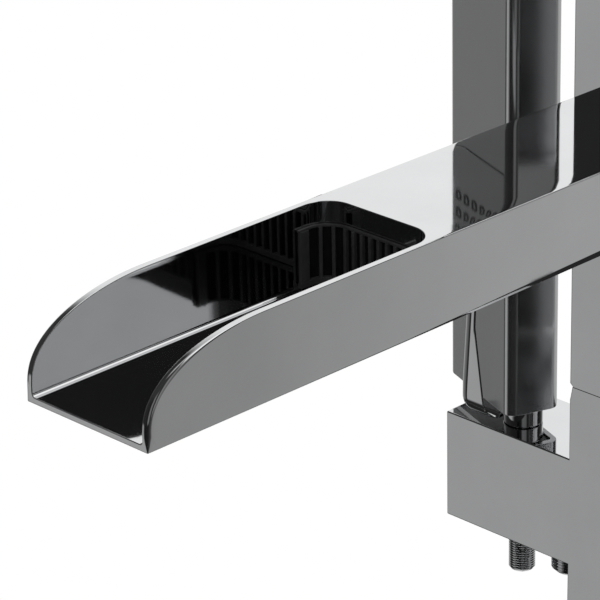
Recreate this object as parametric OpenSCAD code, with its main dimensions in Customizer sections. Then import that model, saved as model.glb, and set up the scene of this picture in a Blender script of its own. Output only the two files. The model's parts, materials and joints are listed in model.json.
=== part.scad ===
// Floor-standing tub filler with an open waterfall spout and a docked handset.
// The origin is on the floor under the column's axis. The spout points along -Y.

/* [Column] */
// Width of the column and of the spout
body_w = 50; // [46:1:60]
// Depth of the column and of the arms
body_d = 34; // [32:1:44]
// Wall of the column tubes
tube_wall = 2; // [1.6:0.1:2.6]
// Height of the spout's top above the floor
spout_top = 860; // [780:5:940]
// Height of the riser above the spout's top
riser_rise = 42; // [34:1:60]
// Thickness of the cap on the riser
cap_t = 4; // [3:0.5:6]
// Height of the groove at each seam
seam_h = 0.5; // [0.4:0.1:1.2]
// Depth of the groove at each seam
seam_in = 1.4; // [1:0.1:1.8]

/* [Spout] */
// Reach of the spout from the column's front face
reach = 232.5; // [200:2.5:260]
// Height of the spout
spout_h = 28; // [25:0.5:32]
// Side wall of the trough
spout_wall = 2.2; // [1.8:0.1:3]
// Floor of the trough
spout_floor = 2; // [1.6:0.1:3]
// Length of the curved front of each side wall
lip_l = 45; // [35:1:55]
// Height of the curved front of each side wall
lip_h = 20.5; // [18:0.5:22]
// Distance from the column's front face to the back of the open trough
well_back = 115; // [100:1:130]
// Corner radius at the back of the open trough
well_r = 9; // [6:0.5:12]
// Thickness above the closed water duct
duct_roof = 10.5; // [9:0.5:13]
// Drop of the flow insert below the spout's top
insert_drop = 7; // [6:0.5:9]
// Thickness of the flow insert
insert_t = 1.8; // [1.4:0.1:2.4]
// Length of the flow insert along each side wall
insert_side = 13; // [10:1:18]
// Spacing of the slots in the flow insert
slot_pitch = 3.7; // [3.2:0.1:5]
// Width of the slots in the flow insert
slot_w = 1.9; // [1.4:0.1:2.4]

/* [Mixer body] */
// Drop of the arms' top below the spout's top
arm_drop = 129.4; // [120:0.2:145]
// Length of each arm from the column's side
arm_l = 56; // [54:0.5:66]
// Height of the arms
arm_h = 40; // [38:1:46]
// Height of the body above the arms
boss_up = 27; // [20:0.5:32]
// Height of the body below the arms
boss_down = 20; // [14:0.5:30]

/* [Base] */
// Side of the square floor plate
plate_s = 160; // [150:2:190]
// Thickness of the floor plate
plate_t = 8; // [6:0.5:12]
// Spacing of the floor anchors
anchor_s = 130; // [120:2:150]
// Diameter of the floor anchor holes
anchor_d = 9; // [7:0.5:11]
// Height of the base cover
cover_h = 20; // [20:0.5:30]
// Wall of the base cover
cover_wall = 2; // [1.5:0.1:2.4]

/* [Water inlets] */
// Outer diameter of the inlet threads
inlet_d = 20.96; // [18:0.02:21]
// Length of the inlet threads
inlet_l = 12; // [10:0.5:12.5]
// Distance between the two inlets
inlet_s = 26; // [24:0.5:27]
// Outer diameter of the pipes
pipe_d = 12; // [10:0.5:12]
// Wall of the pipes
pipe_wall = 1; // [0.8:0.1:1.5]

/* [Controls] */
// Diameter of the mixing cartridge
cart_d = 25; // [22:0.5:26]
// Length of the lever's blade
lever_l = 62; // [50:1:75]
// Width of the lever's blade
lever_w = 12; // [10:0.5:14]
// Thickness of the lever's blade
lever_t = 5; // [4:0.5:6]
// Diameter of the lever's hub
hub_d = 23; // [20:0.5:24]
// Side of the square diverter knob
knob_s = 21; // [18:0.5:22]
// Height of the diverter knob
knob_h = 17; // [14:0.5:22]

/* [Handset] */
// Width of the handset
hand_w = 44.6; // [40:0.2:48]
// Thickness of the handset
hand_t = 20.3; // [19:0.1:22]
// Length of the handset
hand_l = 245; // [225:1:270]
// Radius of the handset's long edges
hand_r = 3.7; // [3:0.1:5]
// Turn of the handset from the column's front face, in degrees
hand_turn = 20.4; // [18:0.2:22]
// Gap from the arm's top to the handset
hand_gap = 6.35; // [5.5:0.05:8]
// Distance from the handset's middle to its neck
neck_off = 14.1; // [13:0.1:15]
// Diameter of the handset's neck
neck_d = 10; // [9:0.1:10.4]
// Diameter of the dock's post
post_d = 13.8; // [13:0.1:15]
// Distance from the left arm's end to the dock's post
dock_in = 24.6; // [21:0.1:25]
// Distance from the arm's front face to the dock's post
dock_front = 12.3; // [11.5:0.1:13]
// Height of the seam below the spray plate, from the handset's bottom
plate_seam = 158; // [145:1:170]
// Thickness of the spray plate
face_t = 3; // [2.4:0.1:4]
// Spacing of the nozzles across the handset
nozzle_px = 5.9; // [5:0.1:6.4]
// Spacing of the nozzles along the handset
nozzle_pz = 6.6; // [5.6:0.1:8]
// Height of the handset rest above the arm
rest_h = 48; // [40:1:56]

/* [Hidden] */

chrome = [0.78, 0.79, 0.8];
brass = [0.72, 0.6, 0.34];
steel = [0.55, 0.56, 0.58];
black = [0.1, 0.1, 0.1];
white = [0.9, 0.9, 0.88];
grey = [0.4, 0.4, 0.42];

// Shared clearances, the overrun of cuts, and the facets of round parts
run_gap = 0.06;
seat_gap = 0.1;
body_gap = 0.3;
over = 1;
$fn = 64;

// Heights and faces that several pieces share
front_y = -body_d / 2;
back_y = body_d / 2;
tip_y = front_y - reach;
well_y = front_y - well_back;
spout_low = spout_top - spout_h;
arm_top = spout_top - arm_drop;
arm_low = arm_top - arm_h;
arm_mid = (arm_top + arm_low) / 2;
arm_end = body_w / 2 + arm_l;
seam_up = arm_top + boss_up;
seam_low = arm_low - boss_down;
riser_top = spout_top + riser_rise;
hand_low = arm_top + hand_gap;
inside_w = body_w - 2 * tube_wall;
inside_d = body_d - 2 * tube_wall;
tenon_w = inside_w - 2 * seat_gap;
tenon_d = inside_d - 2 * seat_gap;

// Set screws of the tubes
set_d = 4;
set_l = 6;
set_x = 12;
tenon_h = 26;
screw_up = 12;

// Base values
foot_w = 92;
foot_d = 72;
foot_t = 6;
foot_wall = 3;
foot_hole_w = inlet_s + inlet_d + 6;
foot_hole_d = inlet_d + 6;
foot_top = plate_t + foot_t;
foot_screw_d = 6;
foot_head_d = 11;
foot_head_t = 3;
foot_sx = 78;
foot_sy = 58;
cover_s = plate_s + 2 * cover_wall + 4;
seal_w = 2.5;
seal_t = 1.4;

// Pipes: centres, and how deep they enter the body
floor_gap = 1;
inlet_neck = 3;
pipe_x = 12;
pipe_seat = 10;
pipe_in = pipe_d / 2 - pipe_wall;
pipe_low = floor_gap + inlet_l + inlet_neck;
pipe_h = seam_low - tenon_h + pipe_seat - pipe_low;
riser_pipe_d = 14;
riser_seat = 16;
tenon_up = 20;
way_d = 9;

// Drillings inside the body: cold water low, hot water in the middle, mixed water high
drill_d = 6;
drill_up = 9;
cold_z = arm_mid - drill_up;
hot_z = arm_mid;
mixed_z = arm_mid + drill_up;

// The nipple joins the spout to the elbow inside the riser
nipple_d = 13;
nipple_z = spout_low + spout_h / 2;
nipple_in = 12;
nipple_out = 14;
ring_r = 0.7;
spout_screw_x = 15;
spout_screw_d = 4;
spout_screw_in = 10;
spout_screw_end = 1;
elbow_w = 22;
elbow_h = 30;
elbow_gap = 1.5;
elbow_y = front_y + tube_wall + elbow_gap;
elbow_l = body_d - 2 * tube_wall - 2 * elbow_gap;
elbow_low = nipple_z - elbow_h / 2;
elbow_seat = 7;
riser_pipe_low = seam_up + seam_h + tenon_up - riser_seat;
riser_pipe_h = elbow_low + elbow_seat - riser_pipe_low;

// Closed water duct in the spout
spout_in_w = body_w - 2 * spout_wall;
duct_h = spout_h - spout_floor - duct_roof;

// Left end plug, and the outlet for the handset's hose
plug_d = 18;
plug_l = 8;
plug_key = 7;
outlet_out = 12;
outlet_x = body_w / 2 + outlet_out;
outlet_d = 15;
outlet_l = 12;
outlet_seat = 12;
outlet_seat_d = 11;
outlet_way = 8;

// Mixing valve: the tilt pivot lies inside the cartridge
cart_l = 24;
cart_wall = 8;
nut_l = 8;
cart_in = arm_end - nut_l - cart_l;
turret_d = 12.4;
turret_l = 13;
stem_d = 8;
stem_neck_d = 6;
stem_flat = 5;
stem_out = 12;
pivot_in = 17;
pivot_x = cart_in + pivot_in;
nut_hole = 18.6;
bonnet_d = 27;
bonnet_hole = 20;
bonnet_t = 2.8;
hub_out = 7;
hub_x = arm_end + hub_out;
hub_l = 15;
cap_d = 9;
cap_h = 1.2;
lever_screw_in = 1;

// Diverter
div_out = 15;
div_x = body_w / 2 + div_out;
div_d = 14;
div_l = 16;
div_stem_d = 6;
div_stem_in = 10;
div_ring_d = 22;
div_ring_t = 1.5;
div_ring_in = 10;
knob_gap = 0.6;
knob_low = arm_top + div_ring_t + knob_gap;
knob_r = 3;
knob_in = 9;

// Dock and handset places
dock_x = arm_end - dock_in;
dock_y = body_d / 2 - dock_front;
bush_d = 16;
bush_cover = 1.6;
sleeve_d = 12;
thread_l = 14;
thread_cut = 0.6;
thread_d = neck_d - thread_cut;
clip_t = 1.2;
clip_d = 15.5;
neck_in = 14;
neck_bore = 6;
neck_low = hand_gap + arm_h + 2 * clip_t + body_gap + thread_l;
neck_ring_r = 0.7;
valve_l = 9;

// Handset: a tube-like shell with a block at each end, and a water tube between the blocks
shell_wall = 2.2;
core_w = hand_w - 2 * shell_wall - 2 * seat_gap;
core_t = hand_t - 2 * shell_wall - 2 * seat_gap;
core_in = 0.8;
base_l = 24;
chamber_low = 10;
chamber_wall = 3;
chamber_side = 5;
chamber_back = 5;
tube_d = 8;
tube_wall_t = 1;
end_t = 3;
face_w = hand_w - 2 * hand_r;
plate_screw_d = 2.4;
plate_screw_l = 8;
plate_screw_z = [plate_seam + chamber_side / 2, hand_l - end_t - chamber_side / 2];
nozzle_w = 3.6;
nozzle_h = 3;
nozzle_out = 0.7;
nozzle_cols = 6;
nozzle_first = 19;
nozzle_top = 9;
nozzle_rows = floor((hand_l - plate_seam - end_t - nozzle_first - nozzle_top) / nozzle_pz) + 1;

// Handset rest: the flat front of its blade, and the rounded left edge
rest_edge = 6;
rest_near = 8.2;
rest_far = 20.4;
rest_inset = 1.8;
rest_y = front_y + rest_inset;
rest_right = dock_x + rest_near;
rest_left = dock_x + rest_far;
rest_foot_t = 2;
rest_bend = 7;
rest_tip = 1.6;
rest_gap = 0.5;
rest_foot_x = rest_left - dock_x - post_d / 2 - body_gap;
rest_foot_back = 4;
rest_screw_x = rest_left - rest_foot_x / 2;
rest_screw_y = 0.5;
rest_screw_d = 3;
rest_screw_l = 9;
rest_head_d = 5.4;
rest_head_t = 1.5;

// A rectangle with round corners, centred
module round_rect(w, d, r) {
    square([w - 2 * r, d], center = true);
    square([w, d - 2 * r], center = true);
    for (x = [-1, 1], y = [-1, 1]) {
        translate([x * (w / 2 - r), y * (d / 2 - r)]) circle(r);
    }
}

// A centred block that stands on z
module block(w, d, z0, z1) {
    translate([-w / 2, -d / 2, z0]) cube([w, d, z1 - z0]);
}

// A round bar along +X, from x0 to x1
module bar_x(d, x0, x1) {
    translate([x0, 0, 0]) rotate([0, 90, 0]) cylinder(d = d, h = x1 - x0);
}

// A round bar along +Y, from y0 to y1
module bar_y(d, y0, y1) {
    translate([0, y0, 0]) rotate([-90, 0, 0]) cylinder(d = d, h = y1 - y0);
}

// A pair of set screws, or of their holes, in a tube's back wall
module set_pair(z, d, depth, y_out) {
    for (x = [-set_x, set_x]) {
        translate([x, 0, z]) bar_y(d, back_y - depth, back_y + y_out);
    }
}

module column_tube(z0, z1) {
    difference() {
        block(body_w, body_d, z0, z1);
        block(inside_w, inside_d, z0 - over, z1 + over);
    }
}

module seam_gasket(z) {
    difference() {
        block(body_w - 2 * seam_in, body_d - 2 * seam_in, z, z + seam_h);
        block(inside_w, inside_d, z - over, z + seam_h + over);
    }
}

// Base

module floor_plate() {
    color(steel) difference() {
        block(plate_s, plate_s, 0, plate_t);
        block(foot_hole_w, foot_hole_d, -over, plate_t + over);
        for (x = [-1, 1], y = [-1, 1]) {
            translate([x * anchor_s / 2, y * anchor_s / 2, -over])
                cylinder(d = anchor_d, h = plate_t + 2 * over);
            translate([x * foot_sx / 2, y * foot_sy / 2, -over])
                cylinder(d = foot_screw_d + 2 * run_gap, h = plate_t + 2 * over);
        }
    }
}

module base_cover() {
    color(chrome) difference() {
        block(cover_s, cover_s, 0, cover_h);
        block(cover_s - 2 * cover_wall, cover_s - 2 * cover_wall, -over, cover_h - cover_wall);
        block(body_w + 2 * body_gap, body_d + 2 * body_gap, 0, cover_h + over);
    }
}

module cover_seal() {
    color(black) difference() {
        block(body_w + 2 * seal_w, body_d + 2 * seal_w, cover_h, cover_h + seal_t);
        block(body_w + 2 * seat_gap, body_d + 2 * seat_gap, cover_h - over, cover_h + seal_t + over);
    }
}

module column_foot() {
    color(steel) difference() {
        union() {
            block(foot_w, foot_d, plate_t, foot_top);
            block(tenon_w, tenon_d, foot_top, foot_top + tenon_h);
        }
        block(foot_hole_w, foot_hole_d, plate_t - over, foot_top);
        block(tenon_w - 2 * foot_wall, tenon_d - 2 * foot_wall, plate_t, foot_top + tenon_h + over);
        set_pair(foot_top + screw_up, set_d + 2 * run_gap, set_l + over, 0);
        for (x = [-1, 1], y = [-1, 1]) {
            translate([x * foot_sx / 2, y * foot_sy / 2, plate_t - over])
                cylinder(d = foot_screw_d + 2 * run_gap, h = foot_t + 2 * over);
        }
    }
}

module foot_screws() {
    color(steel) for (x = [-1, 1], y = [-1, 1]) {
        translate([x * foot_sx / 2, y * foot_sy / 2, 0]) {
            translate([0, 0, floor_gap]) cylinder(d = foot_screw_d, h = foot_top - floor_gap);
            translate([0, 0, foot_top]) cylinder(d = foot_head_d, h = foot_head_t);
        }
    }
}

// Column

module lower_column() {
    color(chrome) difference() {
        column_tube(foot_top, seam_low - seam_h);
        set_pair(foot_top + screw_up, set_d + 2 * run_gap, tube_wall + over, over);
        set_pair(seam_low - seam_h - screw_up, set_d + 2 * run_gap, tube_wall + over, over);
    }
}

module lower_screws() {
    color(steel) {
        set_pair(foot_top + screw_up, set_d, set_l, 0);
        set_pair(seam_low - seam_h - screw_up, set_d, set_l, 0);
    }
}

module lower_gasket() {
    color(black) seam_gasket(seam_low - seam_h);
}

module upper_gasket() {
    color(black) seam_gasket(seam_up);
}

module riser() {
    color(chrome) difference() {
        column_tube(seam_up + seam_h, riser_top - cap_t);
        set_pair(seam_up + seam_h + screw_up, set_d + 2 * run_gap, tube_wall + over, over);
        translate([0, 0, nipple_z])
            bar_y(nipple_d + 2 * seat_gap, front_y - over, front_y + tube_wall + over);
        for (x = [-spout_screw_x, spout_screw_x]) {
            translate([x, 0, nipple_z])
                bar_y(spout_screw_d + 2 * run_gap, front_y - over, front_y + tube_wall + over);
        }
    }
}

module riser_cap() {
    color(chrome) {
        block(body_w, body_d, riser_top - cap_t, riser_top);
        difference() {
            block(tenon_w, tenon_d, riser_top - 3 * cap_t, riser_top - cap_t);
            block(tenon_w - 2 * foot_wall, tenon_d - 2 * foot_wall,
                riser_top - 3 * cap_t - over, riser_top - cap_t);
        }
    }
}

// Water ways

module inlet(x) {
    color(brass) difference() {
        union() {
            translate([x * inlet_s / 2, 0, floor_gap]) cylinder(d = inlet_d, h = inlet_l);
            translate([x * pipe_x, 0, floor_gap + inlet_l]) cylinder(d = pipe_d, h = inlet_neck);
        }
        translate([x * inlet_s / 2, 0, floor_gap - over]) cylinder(r = pipe_in, h = inlet_l);
        translate([x * pipe_x, 0, floor_gap + inlet_l - 2 * over])
            cylinder(r = pipe_in, h = inlet_neck + 3 * over);
    }
}

module hot_inlet() {
    inlet(-1);
}

module cold_inlet() {
    inlet(1);
}

module supply_pipe(x) {
    color(brass) translate([x * pipe_x, 0, pipe_low]) difference() {
        cylinder(d = pipe_d, h = pipe_h);
        translate([0, 0, -over]) cylinder(r = pipe_in, h = pipe_h + 2 * over);
    }
}

module hot_pipe() {
    supply_pipe(-1);
}

module cold_pipe() {
    supply_pipe(1);
}

module riser_pipe() {
    color(brass) translate([0, 0, riser_pipe_low]) difference() {
        cylinder(d = riser_pipe_d, h = riser_pipe_h);
        translate([0, 0, -over]) cylinder(d = riser_pipe_d - 2 * pipe_wall, h = riser_pipe_h + 2 * over);
    }
}

module spout_elbow() {
    color(brass) difference() {
        translate([-elbow_w / 2, elbow_y, elbow_low]) cube([elbow_w, elbow_l, elbow_h]);
        translate([0, 0, elbow_low - over])
            cylinder(d = riser_pipe_d + 2 * run_gap, h = elbow_seat + over);
        translate([0, 0, elbow_low]) cylinder(d = way_d, h = elbow_h / 2);
        translate([0, 0, nipple_z]) bar_y(nipple_d + 2 * run_gap, elbow_y - over, elbow_y + nipple_in);
    }
}

module spout_nipple() {
    color(brass) translate([0, 0, nipple_z]) difference() {
        bar_y(nipple_d, front_y - nipple_out, elbow_y + nipple_in);
        bar_y(way_d, front_y - nipple_out - over, elbow_y + nipple_in + over);
        ring_groove();
    }
}

module ring_groove() {
    translate([0, front_y - nipple_out / 2, 0]) rotate([-90, 0, 0]) difference() {
        cylinder(d = nipple_d + 2 * over, h = 2 * ring_r + 2 * run_gap, center = true);
        cylinder(d = nipple_d - 4 * ring_r, h = 2 * ring_r + 2 * over, center = true);
    }
}

module nipple_ring() {
    color(black) translate([0, front_y - nipple_out / 2, nipple_z]) rotate([-90, 0, 0])
        rotate_extrude() translate([nipple_d / 2 - ring_r + run_gap / 2, 0]) circle(ring_r - run_gap / 2);
}

// Spout: the side outline is a bar whose front is a quarter ellipse over a short upright lip

function lip_curve(n) = [for (i = [0 : n]) [
    tip_y + lip_l * (1 - sin(90 * i / n)),
    spout_top - lip_h * (1 - cos(90 * i / n))]];

module spout_side() {
    polygon(concat([[tip_y, spout_low], [front_y, spout_low], [front_y, spout_top]], lip_curve(28)));
}

// The open trough seen from above, drawn a gap smaller all round when asked
module well_plan(gap) {
    w = body_w - 2 * spout_wall - 2 * gap;
    r = well_r - gap;
    y1 = well_y - gap;
    translate([-w / 2, tip_y - over]) square([w, y1 - r - tip_y + over]);
    translate([-w / 2 + r, tip_y]) square([w - 2 * r, y1 - tip_y]);
    for (x = [-1, 1]) {
        translate([x * (w / 2 - r), y1 - r]) circle(r);
    }
}

// The roof of the duct seen from above, with the round back corners of the trough
module deck_plan() {
    corner = 0.7 * well_r;
    difference() {
        translate([-spout_in_w / 2, well_y - corner])
            square([spout_in_w, front_y - nipple_out - well_y + corner + over]);
        well_plan(0);
    }
}

module spout_body() {
    color(chrome) difference() {
        union() {
            translate([-spout_in_w / 2, tip_y, spout_low])
                cube([spout_in_w, front_y - tip_y, spout_floor]);
            translate([0, 0, spout_top - duct_roof]) linear_extrude(duct_roof) deck_plan();
            translate([-spout_in_w / 2, front_y - nipple_out, spout_low])
                cube([spout_in_w, nipple_out, spout_h]);
        }
        translate([0, 0, nipple_z])
            bar_y(nipple_d + 2 * run_gap, front_y - nipple_out - over, front_y + over);
        for (x = [-spout_screw_x, spout_screw_x]) {
            translate([x, 0, nipple_z])
                bar_y(spout_screw_d + 2 * run_gap, front_y - spout_screw_in, front_y + over);
        }
    }
}

module spout_cheek(x) {
    color(chrome) rotate([90, 0, 90]) translate([0, 0, x]) linear_extrude(spout_wall) spout_side();
}

module spout_left() {
    spout_cheek(-body_w / 2);
}

module spout_right() {
    spout_cheek(body_w / 2 - spout_wall);
}

module spout_screws() {
    color(steel) for (x = [-spout_screw_x, spout_screw_x]) {
        translate([x, 0, nipple_z]) {
            bar_y(spout_screw_d, front_y - spout_screw_in + spout_screw_end, front_y + tube_wall);
            bar_y(1.8 * spout_screw_d, front_y + tube_wall, front_y + tube_wall + 0.7 * spout_screw_d);
        }
    }
}

// A strip that lines the back of the trough, with upright slots for the water
module flow_insert() {
    low = spout_low + spout_floor + seat_gap;
    high = spout_top - insert_drop;
    rim = 2.2;
    slots = floor((body_w - 2 * spout_wall - 2 * well_r) / slot_pitch / 2 + 1.2);
    color(black) difference() {
        translate([0, 0, low]) linear_extrude(high - low) intersection() {
            difference() {
                well_plan(seat_gap);
                well_plan(seat_gap + insert_t);
            }
            translate([-body_w / 2, well_y - insert_side]) square([body_w, insert_side + over]);
        }
        for (i = [-slots : slots]) {
            translate([i * slot_pitch - slot_w / 2, well_y - well_r, low + rim])
                cube([slot_w, well_r + over, high - low - 2 * rim]);
        }
    }
}

// Mixer body with both arms

module mixer_body() {
    color(chrome) difference() {
        union() {
            block(body_w, body_d, seam_low, seam_up);
            block(2 * arm_end, body_d, arm_low, arm_top);
            block(tenon_w, tenon_d, seam_low - tenon_h, seam_low);
            block(tenon_w, tenon_d, seam_up, seam_up + seam_h + tenon_up);
        }
        set_pair(seam_low - seam_h - screw_up, set_d + 2 * run_gap, set_l + over, 0);
        set_pair(seam_up + seam_h + screw_up, set_d + 2 * run_gap, set_l + over, 0);
        for (x = [-pipe_x, pipe_x]) {
            translate([x, 0, seam_low - tenon_h - over])
                cylinder(d = pipe_d + 2 * run_gap, h = pipe_seat + over);
        }
        body_ways();
        translate([0, 0, riser_pipe_low]) cylinder(d = riser_pipe_d + 2 * run_gap, h = riser_seat + over);
        translate([0, 0, arm_mid]) {
            bar_x(cart_d + 2 * seat_gap, cart_in, arm_end + over);
            bar_x(plug_d + 2 * run_gap, -arm_end - over, -arm_end + plug_l);
        }
        translate([div_x, 0, arm_top - div_l]) cylinder(d = div_d + 2 * seat_gap, h = div_l + over);
        translate([-dock_x, -dock_y, arm_low - over])
            cylinder(d = bush_d + 2 * run_gap, h = arm_h - bush_cover + over);
        translate([-dock_x, -dock_y, arm_low])
            cylinder(d = sleeve_d + 2 * body_gap, h = arm_h + over);
        translate([-outlet_x, 0, arm_low - over]) cylinder(d = outlet_seat_d, h = outlet_seat + over);
        translate([-rest_screw_x, rest_screw_y, arm_top - rest_screw_l])
            cylinder(d = rest_screw_d + 2 * run_gap, h = rest_screw_l + over);
    }
}

// Hot and cold water to the cartridge, mixed water past the diverter to the spout and the hose
module body_ways() {
    translate([-pipe_x, 0, seam_low - tenon_h]) cylinder(d = drill_d, h = hot_z - seam_low + tenon_h);
    translate([pipe_x, 0, seam_low - tenon_h]) cylinder(d = drill_d, h = cold_z - seam_low + tenon_h);
    translate([0, 0, hot_z]) bar_x(drill_d, -pipe_x, cart_in + over);
    translate([0, 0, cold_z]) bar_x(drill_d, pipe_x, cart_in + over);
    translate([0, 0, mixed_z]) bar_x(drill_d, -outlet_x, cart_in + over);
    translate([-outlet_x, 0, arm_low]) cylinder(d = drill_d, h = mixed_z - arm_low);
    translate([0, 0, mixed_z]) cylinder(d = way_d, h = riser_pipe_low - mixed_z + over);
}

module body_screws() {
    color(steel) set_pair(seam_up + seam_h + screw_up, set_d, set_l, 0);
}

module body_plug() {
    color(chrome) translate([0, 0, arm_mid]) difference() {
        bar_x(plug_d, -arm_end, -arm_end + plug_l - seat_gap);
        bar_x(plug_key, -arm_end - over, -arm_end + plug_l / 2);
    }
}

module hose_outlet() {
    color(chrome) translate([-outlet_x, 0, 0]) difference() {
        union() {
            translate([0, 0, arm_low - outlet_l]) cylinder(d = outlet_d, h = outlet_l);
            translate([0, 0, arm_low])
                cylinder(d = outlet_seat_d - 2 * run_gap, h = outlet_seat - seat_gap);
        }
        translate([0, 0, arm_low - outlet_l - over])
            cylinder(d = outlet_way, h = outlet_l + outlet_seat + 2 * over);
    }
}

// Mixing valve, along the right arm

module cartridge() {
    color(white) translate([0, 0, arm_mid]) difference() {
        bar_x(cart_d, cart_in, cart_in + cart_l);
        bar_x(turret_d + 2 * run_gap, cart_in + cart_wall, cart_in + cart_l + over);
    }
}

module cartridge_nut() {
    color(brass) translate([0, 0, arm_mid]) difference() {
        bar_x(cart_d, cart_in + cart_l, arm_end);
        bar_x(nut_hole, cart_in + cart_l - over, arm_end + over);
    }
}

module bonnet_ring() {
    color(chrome) translate([0, 0, arm_mid]) difference() {
        bar_x(bonnet_d, arm_end, arm_end + bonnet_t);
        bar_x(bonnet_hole, arm_end - over, arm_end + bonnet_t + over);
    }
}

// The turret turns with the lever and lets its stem tilt in an upright slot
module turret() {
    color(grey) translate([0, 0, arm_mid]) difference() {
        bar_x(turret_d, cart_in + cart_wall + body_gap, cart_in + cart_wall + body_gap + turret_l);
        translate([pivot_x - stem_d / 2 - body_gap, -stem_flat / 2 - run_gap, -turret_d])
            cube([turret_l, stem_flat + 2 * run_gap, 2 * turret_d]);
    }
}

module lever_stem() {
    color(steel) translate([pivot_x, 0, arm_mid]) {
        rotate([90, 0, 0]) cylinder(d = stem_d - 2 * body_gap, h = stem_flat, center = true);
        translate([0, -stem_flat / 2, -stem_flat / 2]) cube([stem_d, stem_flat, stem_flat]);
        bar_x(stem_neck_d, stem_d, hub_x - pivot_x);
        bar_x(stem_d, hub_x - pivot_x, hub_x - pivot_x + stem_out);
    }
}

module lever_handle() {
    blade_z = arm_mid + hub_d / 2 - lever_t / 2;
    color(chrome) difference() {
        union() {
            translate([0, 0, arm_mid]) bar_x(hub_d, hub_x, hub_x + hub_l);
            translate([hub_x + hub_l - lever_t, 0, arm_mid]) rotate([90, 0, 90]) linear_extrude(lever_t)
                polygon([[-hub_d / 2, 0], [hub_d / 2, 0], [lever_w / 2, hub_d / 2 + lever_w],
                    [lever_w / 2, hub_d / 2 + lever_l], [-lever_w / 2, hub_d / 2 + lever_l],
                    [-lever_w / 2, hub_d / 2 + lever_w]]);
        }
        translate([0, 0, arm_mid]) bar_x(stem_d + 2 * run_gap, hub_x - over, hub_x + stem_out);
        translate([hub_x + hub_l / 2 - lever_t / 2, 0, arm_mid - hub_d / 2 - over])
            cylinder(d = set_d + 2 * run_gap, h = hub_d / 2 + over - stem_d / 2);
        translate([0, 0, arm_mid])
            bar_x(cap_d + 2 * run_gap, hub_x + hub_l - cap_h, hub_x + hub_l + over);
    }
}

module lever_screw() {
    color(steel) translate([hub_x + hub_l / 2 - lever_t / 2, 0, arm_mid - hub_d / 2 + lever_screw_in])
        cylinder(d = set_d, h = hub_d / 2 - lever_screw_in - stem_d / 2 - run_gap);
}

module index_cap() {
    color(grey) translate([0, 0, arm_mid]) bar_x(cap_d, hub_x + hub_l - cap_h, hub_x + hub_l + cap_h / 2);
}

// Diverter, on the right arm

module diverter_valve() {
    color(brass) translate([div_x, 0, 0]) difference() {
        translate([0, 0, arm_top - div_l]) cylinder(d = div_d, h = div_l);
        translate([0, 0, arm_top - div_stem_in]) cylinder(d = div_stem_d + 2 * run_gap, h = div_l);
    }
}

module diverter_ring() {
    color(chrome) translate([div_x, 0, arm_top]) difference() {
        cylinder(d = div_ring_d, h = div_ring_t);
        translate([0, 0, -over]) cylinder(d = div_ring_in, h = div_ring_t + 2 * over);
    }
}

module diverter_stem() {
    color(steel) translate([div_x, 0, arm_top - div_stem_in + body_gap])
        cylinder(d = div_stem_d, h = knob_low + knob_in - arm_top + div_stem_in - body_gap);
}

module diverter_knob() {
    color(chrome) translate([div_x, 0, knob_low]) difference() {
        linear_extrude(knob_h) round_rect(knob_s, knob_s, knob_r);
        translate([0, 0, -over]) cylinder(d = div_stem_d + 2 * run_gap, h = knob_in + over);
        translate([0, 0, knob_h - cap_h]) cylinder(d = cap_d + 2 * run_gap, h = cap_h + over);
    }
}

module knob_cap() {
    color(grey) translate([div_x, 0, knob_low + knob_h - cap_h]) cylinder(d = cap_d, h = cap_h * 1.5);
}

// Handset dock, on the left arm

module dock_bushing() {
    color(brass) translate([-dock_x, -dock_y, 0]) difference() {
        translate([0, 0, arm_low]) cylinder(d = bush_d, h = arm_h - bush_cover);
        translate([0, 0, arm_low - over]) cylinder(d = sleeve_d + 2 * run_gap, h = arm_h + 2 * over);
    }
}

// The sleeve turns in the bushing; its upper end is the post that the handset stands on
module dock_sleeve() {
    color(chrome) translate([-dock_x, -dock_y, 0]) difference() {
        union() {
            translate([0, 0, arm_low - 2 * clip_t - body_gap])
                cylinder(d = sleeve_d, h = arm_h + 3 * clip_t);
            translate([0, 0, arm_top + body_gap]) cylinder(d = post_d, h = hand_gap - 2 * body_gap);
        }
        translate([0, 0, arm_low - 2 * clip_t - over])
            cylinder(d = neck_d + 2 * run_gap, h = arm_h + 2 * hand_gap);
    }
}

module sleeve_clip() {
    color(steel) translate([-dock_x, -dock_y, arm_low - body_gap - clip_t]) difference() {
        cylinder(d = clip_d, h = clip_t);
        translate([0, 0, -over]) cylinder(d = sleeve_d + 2 * run_gap, h = clip_t + 2 * over);
    }
}

// The handset's wide front face as a line: how far it lies in front of the dock at a given x
function face_y(x) = -dock_y - (hand_t / 2) / cos(hand_turn) - (x + dock_x) * tan(hand_turn);

// Seen from above: a flat front, a round left edge, and a back that follows the handset
module rest_plan() {
    gap = rest_gap / cos(hand_turn);
    intersection() {
        polygon([[-rest_right, rest_y], [-rest_left, rest_y], [-rest_left, face_y(-rest_left) - gap],
            [-rest_right, face_y(-rest_right) - gap]]);
        union() {
            translate([-rest_left + rest_edge, rest_y]) square([rest_left, body_d]);
            translate([-rest_left, rest_y + rest_edge]) square([rest_left, body_d]);
            translate([-rest_left + rest_edge, rest_y + rest_edge]) circle(rest_edge);
        }
    }
}

// Seen from the front: a blade that narrows to a round tip
module rest_front() {
    tip_x = -(rest_left + rest_right) / 2 - 0.2 * (rest_left - rest_right);
    polygon([[-rest_right, 0], [-rest_right, rest_bend], [tip_x + rest_tip, rest_h - rest_tip],
        [tip_x - rest_tip, rest_h - rest_tip], [-rest_left, rest_h / 4], [-rest_left + rest_tip / 2, 0]]);
    translate([tip_x, rest_h - rest_tip]) circle(rest_tip);
}

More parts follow.
